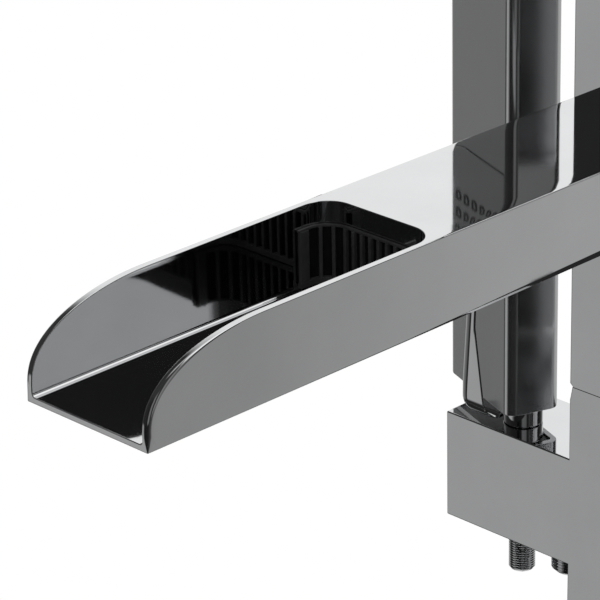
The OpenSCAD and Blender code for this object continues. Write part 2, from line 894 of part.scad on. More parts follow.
// Seen from the side: the lower front edge is rounded back towards the foot
module rest_bend_side() {
    depth = body_d;
    translate([rest_y + rest_bend, 0]) square([depth, rest_h]);
    translate([rest_y, rest_bend]) square([depth, rest_h]);
    translate([rest_y + rest_bend, rest_bend]) circle(rest_bend);
}

module handset_rest() {
    color(chrome) difference() {
        union() {
            intersection() {
                translate([0, 0, arm_top]) linear_extrude(rest_h) rest_plan();
                translate([0, body_d, arm_top])
                    rotate([90, 0, 0]) linear_extrude(2 * body_d) rest_front();
                translate([-2 * dock_x, 0, arm_top]) rotate([90, 0, 90]) linear_extrude(2 * dock_x)
                    rest_bend_side();
            }
            translate([-rest_left, rest_y + rest_bend, arm_top])
                cube([rest_foot_x, rest_foot_back - rest_y - rest_bend, rest_foot_t]);
            translate([-rest_left + rest_edge / 2, rest_y + rest_edge, arm_top])
                cube([rest_foot_x - rest_edge / 2, rest_bend, rest_foot_t]);
        }
        translate([-rest_screw_x, rest_screw_y, arm_top - over])
            cylinder(d = rest_screw_d + 2 * run_gap, h = rest_foot_t + 2 * over);
    }
}

module rest_screw() {
    color(steel) translate([-rest_screw_x, rest_screw_y, arm_top]) {
        translate([0, 0, seat_gap - rest_screw_l])
            cylinder(d = rest_screw_d, h = rest_screw_l + rest_foot_t);
        translate([0, 0, rest_foot_t]) cylinder(d = rest_head_d, h = rest_head_t);
    }
}

// Handset, drawn about its neck and then turned and set on the dock

module on_dock() {
    translate([-dock_x, -dock_y, hand_low]) rotate([0, 0, -hand_turn]) children();
}

// The shell is open at both ends, and in front of the spray plate
module handset_shell() {
    color(chrome) on_dock() translate([-neck_off, 0, 0]) difference() {
        linear_extrude(hand_l - end_t) difference() {
            round_rect(hand_w, hand_t, hand_r);
            round_rect(hand_w - 2 * shell_wall, hand_t - 2 * shell_wall, hand_r - shell_wall);
        }
        translate([-face_w / 2, -hand_t / 2 - over, plate_seam]) cube([face_w, face_t + over, hand_l]);
    }
}

// The lower block carries the neck
module handset_base() {
    color(white) on_dock() difference() {
        translate([-neck_off, 0, core_in]) linear_extrude(base_l - core_in) core_plan();
        translate([0, 0, -over]) cylinder(d = neck_d + 2 * run_gap, h = neck_in + over);
        cylinder(d = tube_d + 2 * run_gap, h = base_l + over);
    }
}

// The upper block is the water chamber behind the spray plate
module spray_chamber() {
    low = plate_seam - chamber_low;
    color(white) on_dock() difference() {
        union() {
            translate([-neck_off, 0, low]) linear_extrude(chamber_low - seat_gap) core_plan();
            translate([-neck_off, 0, low]) linear_extrude(hand_l - end_t - low - seat_gap) intersection() {
                core_plan();
                translate([-face_w / 2, face_t - hand_t / 2]) square([face_w, hand_t]);
            }
        }
        translate([-neck_off - face_w / 2 + chamber_wall, -hand_t / 2, plate_seam + chamber_side])
            cube([face_w - 2 * chamber_wall, core_t / 2 + hand_t / 2 - chamber_back,
                hand_l - end_t - plate_seam - 2 * chamber_side]);
        translate([0, 0, low - over])
            cylinder(d = tube_d + 2 * run_gap, h = chamber_low + chamber_side + 2 * over);
        for (z = plate_screw_z) {
            translate([-neck_off, 0, z])
                bar_y(plate_screw_d + 2 * run_gap, -hand_t / 2, -hand_t / 2 + plate_screw_l);
        }
    }
}

module core_plan() {
    round_rect(core_w, core_t, hand_r - shell_wall - seat_gap / 2);
}

module handset_end() {
    color(chrome) on_dock() translate([-neck_off, 0, hand_l - end_t]) linear_extrude(end_t)
        round_rect(hand_w, hand_t, hand_r);
}

module spray_plate() {
    color(grey) on_dock() difference() {
        translate([-neck_off - face_w / 2 + seat_gap, -hand_t / 2, plate_seam + seat_gap])
            cube([face_w - 2 * seat_gap, face_t, hand_l - end_t - plate_seam - 2 * seat_gap]);
        nozzle_grid(nozzle_w, nozzle_h, over, face_t + 2 * over);
    }
}

// The nozzles, or the holes that they sit in
module nozzle_grid(w, h, out, depth) {
    for (i = [0 : nozzle_cols - 1], k = [0 : nozzle_rows - 1]) {
        translate([-neck_off + (i - (nozzle_cols - 1) / 2) * nozzle_px - w / 2, -hand_t / 2 - out,
            plate_seam + nozzle_first + k * nozzle_pz - h / 2]) cube([w, depth, h]);
    }
}

module spray_nozzles() {
    color(black) on_dock()
        nozzle_grid(nozzle_w - 2 * seat_gap, nozzle_h - 2 * seat_gap, nozzle_out, face_t + nozzle_out);
}

module plate_screws() {
    color(steel) on_dock() for (z = plate_screw_z) {
        translate([-neck_off, 0, z])
            bar_y(plate_screw_d, -hand_t / 2 + face_t, -hand_t / 2 + plate_screw_l - seat_gap);
    }
}

module handset_neck() {
    color(chrome) on_dock() difference() {
        union() {
            translate([0, 0, -neck_low]) cylinder(d = thread_d, h = thread_l);
            translate([0, 0, thread_l - neck_low])
                cylinder(d = neck_d, h = neck_low - thread_l + neck_in - seat_gap);
        }
        translate([0, 0, -neck_low - over]) cylinder(d = neck_bore, h = neck_low + neck_in + 2 * over);
        translate([0, 0, neck_in / 2]) difference() {
            cylinder(d = neck_d + 2 * over, h = 2 * neck_ring_r + 2 * run_gap, center = true);
            cylinder(d = neck_d - 4 * neck_ring_r, h = 2 * neck_ring_r + 2 * over, center = true);
        }
    }
}

module neck_ring() {
    color(black) on_dock() translate([0, 0, neck_in / 2]) rotate_extrude()
        translate([neck_d / 2 - neck_ring_r + run_gap / 2, 0]) circle(neck_ring_r - run_gap / 2);
}

module check_valve() {
    color(white) on_dock() translate([0, 0, -neck_low + thread_l]) difference() {
        cylinder(d = neck_bore - 2 * run_gap, h = valve_l);
        translate([0, 0, -over]) cylinder(d = neck_bore / 2, h = valve_l + 2 * over);
    }
}

module handset_tube() {
    color(grey) on_dock() translate([0, 0, neck_in]) difference() {
        cylinder(d = tube_d, h = plate_seam + chamber_side - neck_in);
        translate([0, 0, -over]) cylinder(d = tube_d - 2 * tube_wall_t, h = plate_seam + chamber_side);
    }
}

floor_plate();
base_cover();
cover_seal();
column_foot();
foot_screws();
lower_column();
lower_screws();
lower_gasket();
hot_inlet();
cold_inlet();
hot_pipe();
cold_pipe();
mixer_body();
body_screws();
body_plug();
hose_outlet();
upper_gasket();
riser();
riser_cap();
riser_pipe();
spout_elbow();
spout_nipple();
nipple_ring();
spout_body();
spout_left();
spout_right();
spout_screws();
flow_insert();
cartridge();
cartridge_nut();
bonnet_ring();
turret();
lever_stem();
lever_handle();
lever_screw();
index_cap();
diverter_valve();
diverter_ring();
diverter_stem();
diverter_knob();
knob_cap();
dock_bushing();
handset_rest();
rest_screw();
dock_sleeve();
sleeve_clip();
handset_shell();
handset_base();
spray_chamber();
handset_end();
spray_plate();
spray_nozzles();
plate_screws();
handset_neck();
neck_ring();
check_valve();
handset_tube();
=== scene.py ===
# %% [markdown]
# # A floor-standing tub filler in polished chrome
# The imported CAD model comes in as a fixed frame: every node sits where the real part
# sits. This script dresses it. Each part that can be seen gets a finer mesh with rounded
# edges, because chrome shows its shape only through what its edges and faces reflect.

# %% The frame and the CAD box
import bpy, bmesh, json, math
from mathutils import Matrix, Vector


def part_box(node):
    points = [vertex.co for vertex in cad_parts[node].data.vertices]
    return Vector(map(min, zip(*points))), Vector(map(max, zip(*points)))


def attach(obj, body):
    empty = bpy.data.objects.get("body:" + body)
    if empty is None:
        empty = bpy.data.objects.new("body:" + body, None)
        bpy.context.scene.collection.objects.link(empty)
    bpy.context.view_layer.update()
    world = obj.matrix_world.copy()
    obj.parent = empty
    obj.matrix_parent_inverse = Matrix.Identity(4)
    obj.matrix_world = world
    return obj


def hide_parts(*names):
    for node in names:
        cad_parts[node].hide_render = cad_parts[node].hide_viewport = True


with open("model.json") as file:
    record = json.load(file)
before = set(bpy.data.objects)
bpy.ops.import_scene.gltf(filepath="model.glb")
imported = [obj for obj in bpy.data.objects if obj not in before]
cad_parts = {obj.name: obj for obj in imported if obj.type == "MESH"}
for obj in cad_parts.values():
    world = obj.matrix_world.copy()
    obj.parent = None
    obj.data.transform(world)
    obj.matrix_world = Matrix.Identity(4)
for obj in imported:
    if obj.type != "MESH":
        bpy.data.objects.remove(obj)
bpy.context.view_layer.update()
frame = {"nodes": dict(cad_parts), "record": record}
scene = bpy.context.scene
mm = 0.001

# %% [markdown]
# ## The camera
# The camera's direction, distance and lens were fitted to the straight edges of the
# spout, column and arm. It could be placed by eye, but a mirror shows a wrong angle at
# once. A long lens from about a metre gives the flat look of a catalogue picture. The
# small roll is the one the photograph has.

# %% The camera
VIEW_TURN, VIEW_DOWN, VIEW_ROLL = (math.radians(a) for a in (45.64, 23.34, -1.22))
CAMERA_AT = Vector((640.2, -792.3, 1230.1)) * mm
SENSOR, LENS = 36, 201.85
look = Vector((-math.sin(VIEW_TURN) * math.cos(VIEW_DOWN),
               math.cos(VIEW_TURN) * math.cos(VIEW_DOWN), -math.sin(VIEW_DOWN)))
side = Vector((math.cos(VIEW_TURN), math.sin(VIEW_TURN), 0))
up = side.cross(look)
side, up = (math.cos(VIEW_ROLL) * side + math.sin(VIEW_ROLL) * up,
            -math.sin(VIEW_ROLL) * side + math.cos(VIEW_ROLL) * up)
camera = bpy.data.objects.new("camera", bpy.data.cameras.new("camera"))
scene.collection.objects.link(camera)
scene.camera = camera
camera.data.sensor_width, camera.data.lens = SENSOR, LENS
camera.data.clip_start, camera.data.clip_end = 0.05, 50
camera.matrix_world = Matrix.Translation(CAMERA_AT) @ Matrix((side, up, -look)).transposed().to_4x4()
print("camera at", [round(v, 3) for v in camera.location], "lens", camera.data.lens)

# %% [markdown]
# ## The studio
# Chrome has no colour of its own, so the room is half of its look. Such a room could be
# built from glowing planes, but a world made of nodes has nothing that gets in the way
# and is quick to change. The world gives white to the camera. To everything else it is a
# studio: a large white panel at the back left, paler panels at the other corners, and
# black gaps between them. Three colour ramps hold the tones round the room: one for rays
# that go a little down, one for rays round the horizon and above it, and one for steep
# rays. A fourth ramp lowers the border between the first two where one dark panel hangs
# lower than the others.

# %% Node helpers
def node(tree, kind, x=0, y=0, **values):
    """Adds a node; names in values that are inputs set the sockets, others set properties."""
    n = tree.nodes.new(kind)
    n.location = (x, y)
    for k, v in values.items():
        if k in n.inputs:
            n.inputs[k].default_value = v
        else:
            setattr(n, k, v)
    return n


def ramp(tree, stops, x=0, y=0, interpolation="EASE"):
    """A colour ramp from (position, grey or colour) stops."""
    n = node(tree, "ShaderNodeValToRGB", x, y)
    n.color_ramp.interpolation = interpolation
    e = n.color_ramp.elements
    while len(e) < len(stops):
        e.new(0.5)
    for item, (position, tone) in zip(e, stops):
        item.position = position
        item.color = (*tone, 1) if isinstance(tone, tuple) else (tone, tone, tone, 1)
    return n


# %% The studio's panels
def round_the_room(*tones):
    """Stops for a ramp round the horizon, from (degrees, tone) pairs; 0 is +X, 90 is +Y."""
    stops = sorted(((a % 360) / 360, t) for a, t in tones)
    first, last = stops[0], stops[-1]
    gap = first[0] + 1 - last[0]
    seam = last[1] + (first[1] - last[1]) * (1 - last[0]) / gap
    return [(0.0, seam)] + stops + [(1.0, seam)]


panels_high = round_the_room(
    (2, 0.30), (14, 0.22), (30, 0.04), (44, 0.02), (58, 0.03), (76, 0.1), (90, 0.35), (100, 1.1),
    (108, 1.25), (148, 1.25), (163, 0.85), (173, 0.42), (181, 0.25), (190, 0.18), (204, 0.05), (226, 0.045),
    (246, 0.03), (300, 0.02), (310, 0.25), (326, 0.22), (336, 0.03), (346, 0.03), (356, 0.25))
panels_low = round_the_room(
    (5, 0.07), (22, 0.16), (38, 0.33), (42, 0.39), (50, 0.55), (66, 0.62), (95, 0.6), (150, 0.5), (159, 0.46),
    (176, 0.34), (183, 0.24), (189, 0.23), (197, 0.17), (204, 0.1), (210, 0.02), (215, 0.02), (218, 0.52),
    (240, 0.5), (254, 0.1), (262, 0.012), (330, 0.02), (345, 0.05))
panels_top = round_the_room(
    (0, 0.1), (12, 1.2), (22, 1.7), (60, 1.6), (106, 1.2), (135, 1.25), (152, 0.6), (166, 0.04), (240, 0.05),
    (350, 0.05))
panel_drop = round_the_room((203, 0), (209, 0.165), (221, 0.165), (223, 0))
print("studio panels:", len(panels_high), "high,", len(panels_low), "low,", len(panels_top), "top")

# %% Which way a ray goes
world = bpy.data.worlds.new("studio")
scene.world = world
world.use_nodes = True
wt = world.node_tree
wt.nodes.clear()
where = node(wt, "ShaderNodeTexCoord", -1400)
split = node(wt, "ShaderNodeSeparateXYZ", -1200)
turn = node(wt, "ShaderNodeMath", -1000, 200, operation="ARCTAN2")
turn_share = node(wt, "ShaderNodeMapRange", -800, 200, **{"From Min": -math.pi, "From Max": math.pi,
                                                          "To Min": -0.5, "To Max": 0.5})
wrap = node(wt, "ShaderNodeMath", -600, 200, operation="FLOORED_MODULO")
wrap.inputs[1].default_value = 1.0
low, high, top = (ramp(wt, p, -400, y) for p, y in ((panels_low, 0), (panels_high, 300), (panels_top, 600)))
print("world nodes for the direction:", len(wt.nodes))

# %% The bands from the ground up
# Heights of a ray, from -1 straight down to 1 straight up, between which two bands fade
GROUND_END, LOW_END, HIGH_END, TOP_END = (-0.60, -0.47), (-0.22, -0.12), (0.55, 0.72), (0.93, 0.99)
GROUND_TONE, ROOF_TONE = 0.03, 0.6


def band(tree, before, after, start, end, height, x, y):
    """Fades from one tone to the next as the ray's height goes from start to end."""
    share = node(tree, "ShaderNodeMapRange", x, y - 200, interpolation_type="SMOOTHSTEP",
                 **{"From Min": start, "From Max": end})
    mix = node(tree, "ShaderNodeMix", x + 200, y, data_type="RGBA")
    tree.links.new(height, share.inputs["Value"])
    tree.links.new(share.outputs[0], mix.inputs[0])
    for socket, tone in ((mix.inputs[6], before), (mix.inputs[7], after)):
        if isinstance(tone, (int, float)):
            socket.default_value = (tone, tone, tone, 1)
        else:
            tree.links.new(tone, socket)
    return mix.outputs[2]


ray_z = split.outputs["Z"]
drop = ramp(wt, panel_drop, -400, -300, "LINEAR")
dropped_z = node(wt, "ShaderNodeMath", -200, -300, operation="ADD")
wt.links.new(wrap.outputs[0], drop.inputs[0])
wt.links.new(ray_z, dropped_z.inputs[0])
wt.links.new(drop.outputs[0], dropped_z.inputs[1])
tone = band(wt, GROUND_TONE, low.outputs[0], *GROUND_END, ray_z, -200, 0)
tone = band(wt, tone, high.outputs[0], *LOW_END, dropped_z.outputs[0], 0, 100)
tone = band(wt, tone, top.outputs[0], *HIGH_END, ray_z, 200, 200)
tone = band(wt, tone, ROOF_TONE, *TOP_END, ray_z, 400, 300)
print("bands:", len((GROUND_END, LOW_END, HIGH_END, TOP_END)) + 1)

# %% White for the camera, the studio for mirrors
room = node(wt, "ShaderNodeBackground", 300, 200)
even = node(wt, "ShaderNodeBackground", 300, 0, Color=(0.78, 0.78, 0.78, 1))
white = node(wt, "ShaderNodeBackground", 300, -200, Color=(1, 1, 1, 1))
ray = node(wt, "ShaderNodeLightPath", 100, 600)
glossy_or_even = node(wt, "ShaderNodeMixShader", 500, 100)
camera_or_room = node(wt, "ShaderNodeMixShader", 700, 0)
out = node(wt, "ShaderNodeOutputWorld", 900)
for a, b in ((where.outputs["Generated"], split.inputs[0]), (split.outputs["Y"], turn.inputs[0]),
             (split.outputs["X"], turn.inputs[1]), (turn.outputs[0], turn_share.inputs["Value"]),
             (turn_share.outputs[0], wrap.inputs[0]), (wrap.outputs[0], high.inputs[0]),
             (wrap.outputs[0], low.inputs[0]), (wrap.outputs[0], top.inputs[0]),
             (tone, room.inputs["Color"]), (ray.outputs["Is Glossy Ray"], glossy_or_even.inputs[0]),
             (even.outputs[0], glossy_or_even.inputs[1]), (room.outputs[0], glossy_or_even.inputs[2]),
             (ray.outputs["Is Camera Ray"], camera_or_room.inputs[0]),
             (glossy_or_even.outputs[0], camera_or_room.inputs[1]),
             (white.outputs[0], camera_or_room.inputs[2]),
             (camera_or_room.outputs[0], out.inputs["Surface"])):
    wt.links.new(a, b)
print("world nodes:", len(wt.nodes))

# %% [markdown]
# ## The lamp and the floor
# One large round lamp above the front gives the soft shadow on the floor. It is hidden
# from mirrors, because its disc would show in the chrome as a bright spot. The floor
# could be a bent backdrop, but a plain disc is enough when its material fades to white
# before its rim, so that no horizon shows. In mirrors its outer part goes dark instead,
# as the far floor of a dark studio does.

# %% The key lamp
lamp = bpy.data.objects.new("key_lamp", bpy.data.lights.new("key_lamp", "AREA"))
scene.collection.objects.link(lamp)
lamp.data.shape, lamp.data.size = "DISK", 1.6
lamp.data.energy = 26
lamp.visible_glossy = False
lamp.location = (1.3, -1.5, 2.6)
lamp.rotation_euler = (Vector((0, 0, 0.4)) - lamp.location).to_track_quat("-Z", "Y").to_euler()
print("lamp", lamp.data.energy, "W, in metres:", [round(v, 2) for v in lamp.location])

# %% The floor
# All in metres from the middle: the rim, where the fades start, and where mirrors show dark
FLOOR_R, FADE_FROM, DARK_BY = 1.1, 0.35, 0.7
bm = bmesh.new()
bmesh.ops.create_circle(bm, cap_ends=True, segments=128, radius=FLOOR_R)
floor_mesh = bpy.data.meshes.new("floor")
bm.to_mesh(floor_mesh)
bm.free()
floor = bpy.data.objects.new("floor", floor_mesh)
scene.collection.objects.link(floor)
fm = bpy.data.materials.new("pale_floor")
fm.use_nodes = True
ft = fm.node_tree
ft.nodes.clear()
f_where = node(ft, "ShaderNodeTexCoord", -900)
f_far = node(ft, "ShaderNodeVectorMath", -700, operation="LENGTH")
f_fade = node(ft, "ShaderNodeMapRange", -500, interpolation_type="SMOOTHSTEP",
              **{"From Min": FADE_FROM, "From Max": 0.98 * FLOOR_R})
f_ray = node(ft, "ShaderNodeLightPath", -700, 300)
f_rim = node(ft, "ShaderNodeMath", -300, operation="MULTIPLY")
f_matt = node(ft, "ShaderNodeBsdfDiffuse", -300, -200, Color=(0.93, 0.93, 0.93, 1))
f_white = node(ft, "ShaderNodeEmission", -300, -400, Color=(1, 1, 1, 1))
f_mix = node(ft, "ShaderNodeMixShader", 0)
f_far_dark = node(ft, "ShaderNodeMapRange", -500, 500, interpolation_type="SMOOTHSTEP",
                  **{"From Min": FADE_FROM, "From Max": DARK_BY})
f_mirror = node(ft, "ShaderNodeMath", -300, 500, operation="MULTIPLY")
f_dark = node(ft, "ShaderNodeEmission", 0, -200, Color=(0.03, 0.03, 0.03, 1))
f_last = node(ft, "ShaderNodeMixShader", 200)
f_out = node(ft, "ShaderNodeOutputMaterial", 400)
for a, b in ((f_where.outputs["Object"], f_far.inputs[0]), (f_far.outputs["Value"], f_fade.inputs["Value"]),
             (f_fade.outputs[0], f_rim.inputs[0]), (f_ray.outputs["Is Camera Ray"], f_rim.inputs[1]),
             (f_rim.outputs[0], f_mix.inputs[0]), (f_matt.outputs[0], f_mix.inputs[1]),
             (f_white.outputs[0], f_mix.inputs[2]), (f_far.outputs["Value"], f_far_dark.inputs["Value"]),
             (f_far_dark.outputs[0], f_mirror.inputs[0]),
             (f_ray.outputs["Is Glossy Ray"], f_mirror.inputs[1]),
             (f_mirror.outputs[0], f_last.inputs[0]), (f_mix.outputs[0], f_last.inputs[1]),
             (f_dark.outputs[0], f_last.inputs[2]), (f_last.outputs[0], f_out.inputs["Surface"])):
    ft.links.new(a, b)
floor_mesh.materials.append(fm)
print("floor radius", FLOOR_R, "m")

# %% [markdown]
# ## The finishes
# Polished chrome is a bright metal with a very low roughness. What makes it look real
# is that it isn't perfect: the roughness wanders a little from wiping, and the face is
# very slightly wavy from polishing, so reflections bend. A picture of scratches could
# give this too, but it would need seams and a place on every part. Noise on Object
# coordinates, in metres, has the same scale everywhere.

# %% A finish with noise in its colour, roughness and surface
def finish(name, dark, light, rough, metallic=1.0, grain=90, stretch=(1, 1, 1), wave=0.0, wave_size=12,
           tooth=0.0, tooth_size=2500, **shader):
    """Wanders between two tones and two roughnesses. wave and tooth are heights in metres."""
    m = bpy.data.materials.new(name)
    m.use_nodes = True
    t = m.node_tree
    p = t.nodes["Principled BSDF"]
    p.inputs["Metallic"].default_value = metallic
    for k, v in shader.items():
        p.inputs[k.replace("_", " ")].default_value = v
    coords = node(t, "ShaderNodeTexCoord", -1300)
    fit = node(t, "ShaderNodeMapping", -1100)
    fit.inputs["Scale"].default_value = stretch
    cloud = node(t, "ShaderNodeTexNoise", -900, 200, Scale=grain, Detail=4.0, Roughness=0.6)
    tone = ramp(t, [(0.3, dark), (0.7, light)], -600, 300, "LINEAR")
    gloss = node(t, "ShaderNodeMapRange", -600, 0, **{"From Min": 0.3, "From Max": 0.7,
                                                      "To Min": rough[0], "To Max": rough[1]})
    links = [(coords.outputs["Object"], fit.inputs["Vector"]), (fit.outputs[0], cloud.inputs["Vector"]),
             (cloud.outputs["Fac"], tone.inputs[0]), (tone.outputs[0], p.inputs["Base Color"]),
             (cloud.outputs["Fac"], gloss.inputs["Value"]), (gloss.outputs[0], p.inputs["Roughness"])]
    if wave or tooth:
        swell = node(t, "ShaderNodeTexNoise", -900, -300, Scale=wave_size, Detail=1.0)
        swell_bump = node(t, "ShaderNodeBump", -300, -300, Strength=1.0, Distance=wave)
        pit = node(t, "ShaderNodeTexNoise", -900, -550, Scale=tooth_size, Detail=3.0)
        pit_bump = node(t, "ShaderNodeBump", -100, -450, Strength=1.0, Distance=tooth)
        links += [(coords.outputs["Object"], swell.inputs["Vector"]),
                  (swell.outputs["Fac"], swell_bump.inputs["Height"]),
                  (fit.outputs[0], pit.inputs["Vector"]), (pit.outputs["Fac"], pit_bump.inputs["Height"]),
                  (swell_bump.outputs[0], pit_bump.inputs["Normal"]),
                  (pit_bump.outputs[0], p.inputs["Normal"])]
    for a, b in links:
        t.links.new(a, b)
    return m


# %% The finishes of this filler
chrome = finish("polished_chrome", (0.545, 0.55, 0.555), (0.575, 0.58, 0.585), (0.025, 0.055), grain=35,
                wave=0.0001, wave_size=9)
chrome_soft = finish("satin_chrome", (0.52, 0.525, 0.53), (0.56, 0.565, 0.57), (0.06, 0.10), grain=60,
                     wave=0.0003, wave_size=12)
chrome_wand = finish("wand_chrome", (0.545, 0.55, 0.555), (0.575, 0.58, 0.585), (0.15, 0.19), grain=35,
                     wave=0.0002, wave_size=9)
steel = finish("brushed_steel", (0.42, 0.43, 0.44), (0.58, 0.59, 0.60), (0.28, 0.42), grain=120,
               stretch=(14, 1, 1), tooth=0.00001)
brass = finish("turned_brass", (0.60, 0.46, 0.22), (0.74, 0.60, 0.33), (0.22, 0.34), grain=160,
               stretch=(1, 1, 8), tooth=0.00001)
seal_rubber = finish("seal_rubber", (0.010, 0.010, 0.011), (0.022, 0.022, 0.023), (0.55, 0.75), metallic=0,
                     grain=400, tooth=0.00002)
nozzle_rubber = finish("nozzle_rubber", (0.014, 0.015, 0.016), (0.026, 0.027, 0.029), (0.45, 0.6), metallic=0,
                       grain=500, tooth=0.00001)
black_plastic = finish("black_plastic", (0.010, 0.010, 0.011), (0.020, 0.020, 0.021), (0.16, 0.26),
                       metallic=0, grain=300, tooth=0.000004)
grey_plastic = finish("grey_plastic", (0.07, 0.072, 0.076), (0.10, 0.103, 0.108), (0.3, 0.42), metallic=0,
                      grain=300, tooth=0.000006)
white_plastic = finish("white_plastic", (0.72, 0.72, 0.70), (0.80, 0.80, 0.78), (0.35, 0.5), metallic=0,
                       grain=250, tooth=0.000006)
slat_plastic = finish("slat_plastic", (0.016, 0.016, 0.017), (0.026, 0.026, 0.027), (0.3, 0.42), metallic=0,
                      grain=300, tooth=0.000004)
# slot_shade is painted shade: near-black and hardly glossy, for the strip behind the insert's slats
slot_shade = finish("slot_shade", (0.002, 0.002, 0.002), (0.004, 0.004, 0.004), (0.7, 0.8), metallic=0,
                    grain=300, tooth=0.000004, Specular_IOR_Level=0.12)
FINISH_OF = {"chrome": chrome, "steel": steel, "brass": brass, "seal": seal_rubber, "nozzle": nozzle_rubber,
             "insert": black_plastic, "plate": chrome_soft, "white": white_plastic, "grey": grey_plastic}
for part in frame["record"]["subparts"]:
    ob = frame["nodes"][part["node"]]
    ob.data.materials.clear()
    ob.data.materials.append(FINISH_OF[part["material_slot"]])

# %% [markdown]
# ## Helpers for the parts
# Every part starts as a few bmesh shapes: a block, a turned outline or an extruded
# outline. Its edges are then bevelled, because no real edge is sharp and a polished one
# catches a line of light. Weighted normals keep the flat faces flat right up to the
# bevel, so the chrome on them shows no false dents.

# %% Blocks, holes and rounded edges
def block(bm, lo, hi):
    """A box between two corners."""
    lo, hi = Vector(lo), Vector(hi)
    size = Matrix.Diagonal((*(hi - lo), 1))
    return bmesh.ops.create_cube(bm, size=1, matrix=Matrix.Translation((lo + hi) / 2) @ size)["verts"]


def round_edges(bm, edges, radius, segments=4, clamp=True):
    """Rounds those edges."""
    return bmesh.ops.bevel(bm, geom=list(edges), offset=radius, offset_type="OFFSET", segments=segments,
                           profile=0.5, affect="EDGES", material=-1, clamp_overlap=clamp)


def along(edge, axis):
    """True if the edge runs along x, y or z (0, 1, 2)."""
    d = (edge.verts[1].co - edge.verts[0].co).normalized()
    return abs(d[axis]) > 0.999


def at(value, wanted, near=0.00001):
    """True if two measures are the same but for rounding."""
    return abs(value - wanted) < near


def middle(edge):
    """The point halfway along an edge."""
    return (edge.verts[0].co + edge.verts[1].co) / 2


def upright_edges(bm):
    """The edges that run straight up."""
    return [e for e in bm.edges if along(e, 2)]


def level_edges(bm, z):
    """The edges that lie at one height."""
    return [e for e in bm.edges if all(at(v.co.z, z) for v in e.verts)]


def cut_across(bm, place, axis):
    """Gives the whole shape a ring of edges where a plane square to the axis meets it."""
    bmesh.ops.bisect_plane(bm, geom=bm.verts[:] + bm.edges[:] + bm.faces[:], plane_co=place, plane_no=axis)


def move_made(bm, made, move):
    """Moves the vertices that an operator has just made."""
    bmesh.ops.translate(bm, verts=[g for g in made if isinstance(g, bmesh.types.BMVert)], vec=move)


def corner_edges(bm):
    """The edges where two faces meet outwards at more than 30 degrees."""
    bm.normal_update()
    return [e for e in bm.edges if e.is_manifold and e.is_convex and e.calc_face_angle() > math.radians(30)]


def holes_in_face(bm, face, holes, segments=48):
    """Fills a flat face again with round holes in it. holes are (centre, radius); returns the rims."""
    n = face.normal.copy()
    outer = list(face.edges)
    bmesh.ops.delete(bm, geom=[face], context="FACES_ONLY")
    turn_to = n.to_track_quat("Z", "Y").to_matrix().to_4x4()
    rims = []
    for centre, radius in holes:
        made = bmesh.ops.create_circle(bm, cap_ends=False, segments=segments, radius=radius,
                                       matrix=Matrix.Translation(centre) @ turn_to)
        rims.append(list({e for v in made["verts"] for e in v.link_edges}))
    bmesh.ops.triangle_fill(bm, edges=outer + sum(rims, []), use_beauty=True, normal=n)
    return rims


def sink(bm, rim, depth, close=True):
    """Turns a rim into a round pocket by moving a copy of it by depth, and closes its end."""
    made = bmesh.ops.extrude_edge_only(bm, edges=rim)["geom"]
    edges = [e for e in made if isinstance(e, bmesh.types.BMEdge)]
    move_made(bm, made, depth)
    if close:
        bmesh.ops.contextual_create(bm, geom=edges)
    return edges


def push(bm, faces, move):
    """Extrudes a patch of faces by a vector and leaves nothing of it at the old place."""
    made = bmesh.ops.extrude_face_region(bm, geom=faces)["geom"]
    move_made(bm, made, move)
    bmesh.ops.delete(bm, geom=[f for f in faces if f.is_valid], context="FACES_ONLY")


def flat_face(bm, direction, inside):
    """The largest flat face that looks in that direction and whose box holds the point."""
    bm.normal_update()
    direction, inside = Vector(direction), Vector(inside)
    found = []
    for f in bm.faces:
        if f.normal.dot(direction) < 0.9999:
            continue
        if abs((f.calc_center_median() - inside).dot(direction)) > 0.0002:
            continue
        found.append(f)
    return max(found, key=lambda f: f.calc_area())


# %% Turned and extruded outlines
def turned(bm, outline, place=Matrix(), steps=72):
    """Turns a closed outline of (radius, height) points about Z, then puts it in place."""
    before = set(bm.verts)
    verts = [bm.verts.new((r, 0, z)) for r, z in outline]
    edges = [bm.edges.new(pair) for pair in zip(verts, verts[1:] + verts[:1])
             if max(abs(v.co.x) for v in pair) > 0]
    bmesh.ops.spin(bm, geom=verts + edges, cent=(0, 0, 0), axis=(0, 0, 1), dvec=(0, 0, 0),
                   angle=2 * math.pi, steps=steps, use_merge=True, use_duplicate=False)
    bmesh.ops.transform(bm, matrix=place, verts=[v for v in bm.verts if v not in before])


def soft_outline(points, radius, steps=3):
    """Rounds the corners of a closed (radius, height) outline. radius is one value or one a corner."""
    out = []
    n = len(points)
    for i, p in enumerate(points):
        p = Vector(p)
        a, b = Vector(points[i - 1]) - p, Vector(points[(i + 1) % n]) - p
        r = radius[i] if isinstance(radius, (list, tuple)) else radius
        r = min(r, a.length * 0.45, b.length * 0.45)
        if r <= 0:
            out.append(tuple(p))
            continue
        for k in range(steps + 1):
            t = k / steps
            q = p + a.normalized() * r * (1 - t) ** 2 + b.normalized() * r * t ** 2
            out.append(tuple(q))
    return out


def extruded(bm, points, move):
    """A flat outline of 3-D points, extruded by a vector to a closed solid."""
    face = bm.faces.new([bm.verts.new(p) for p in points])
    made = bmesh.ops.extrude_face_region(bm, geom=[face], use_keep_orig=True)["geom"]
    move_made(bm, made, move)


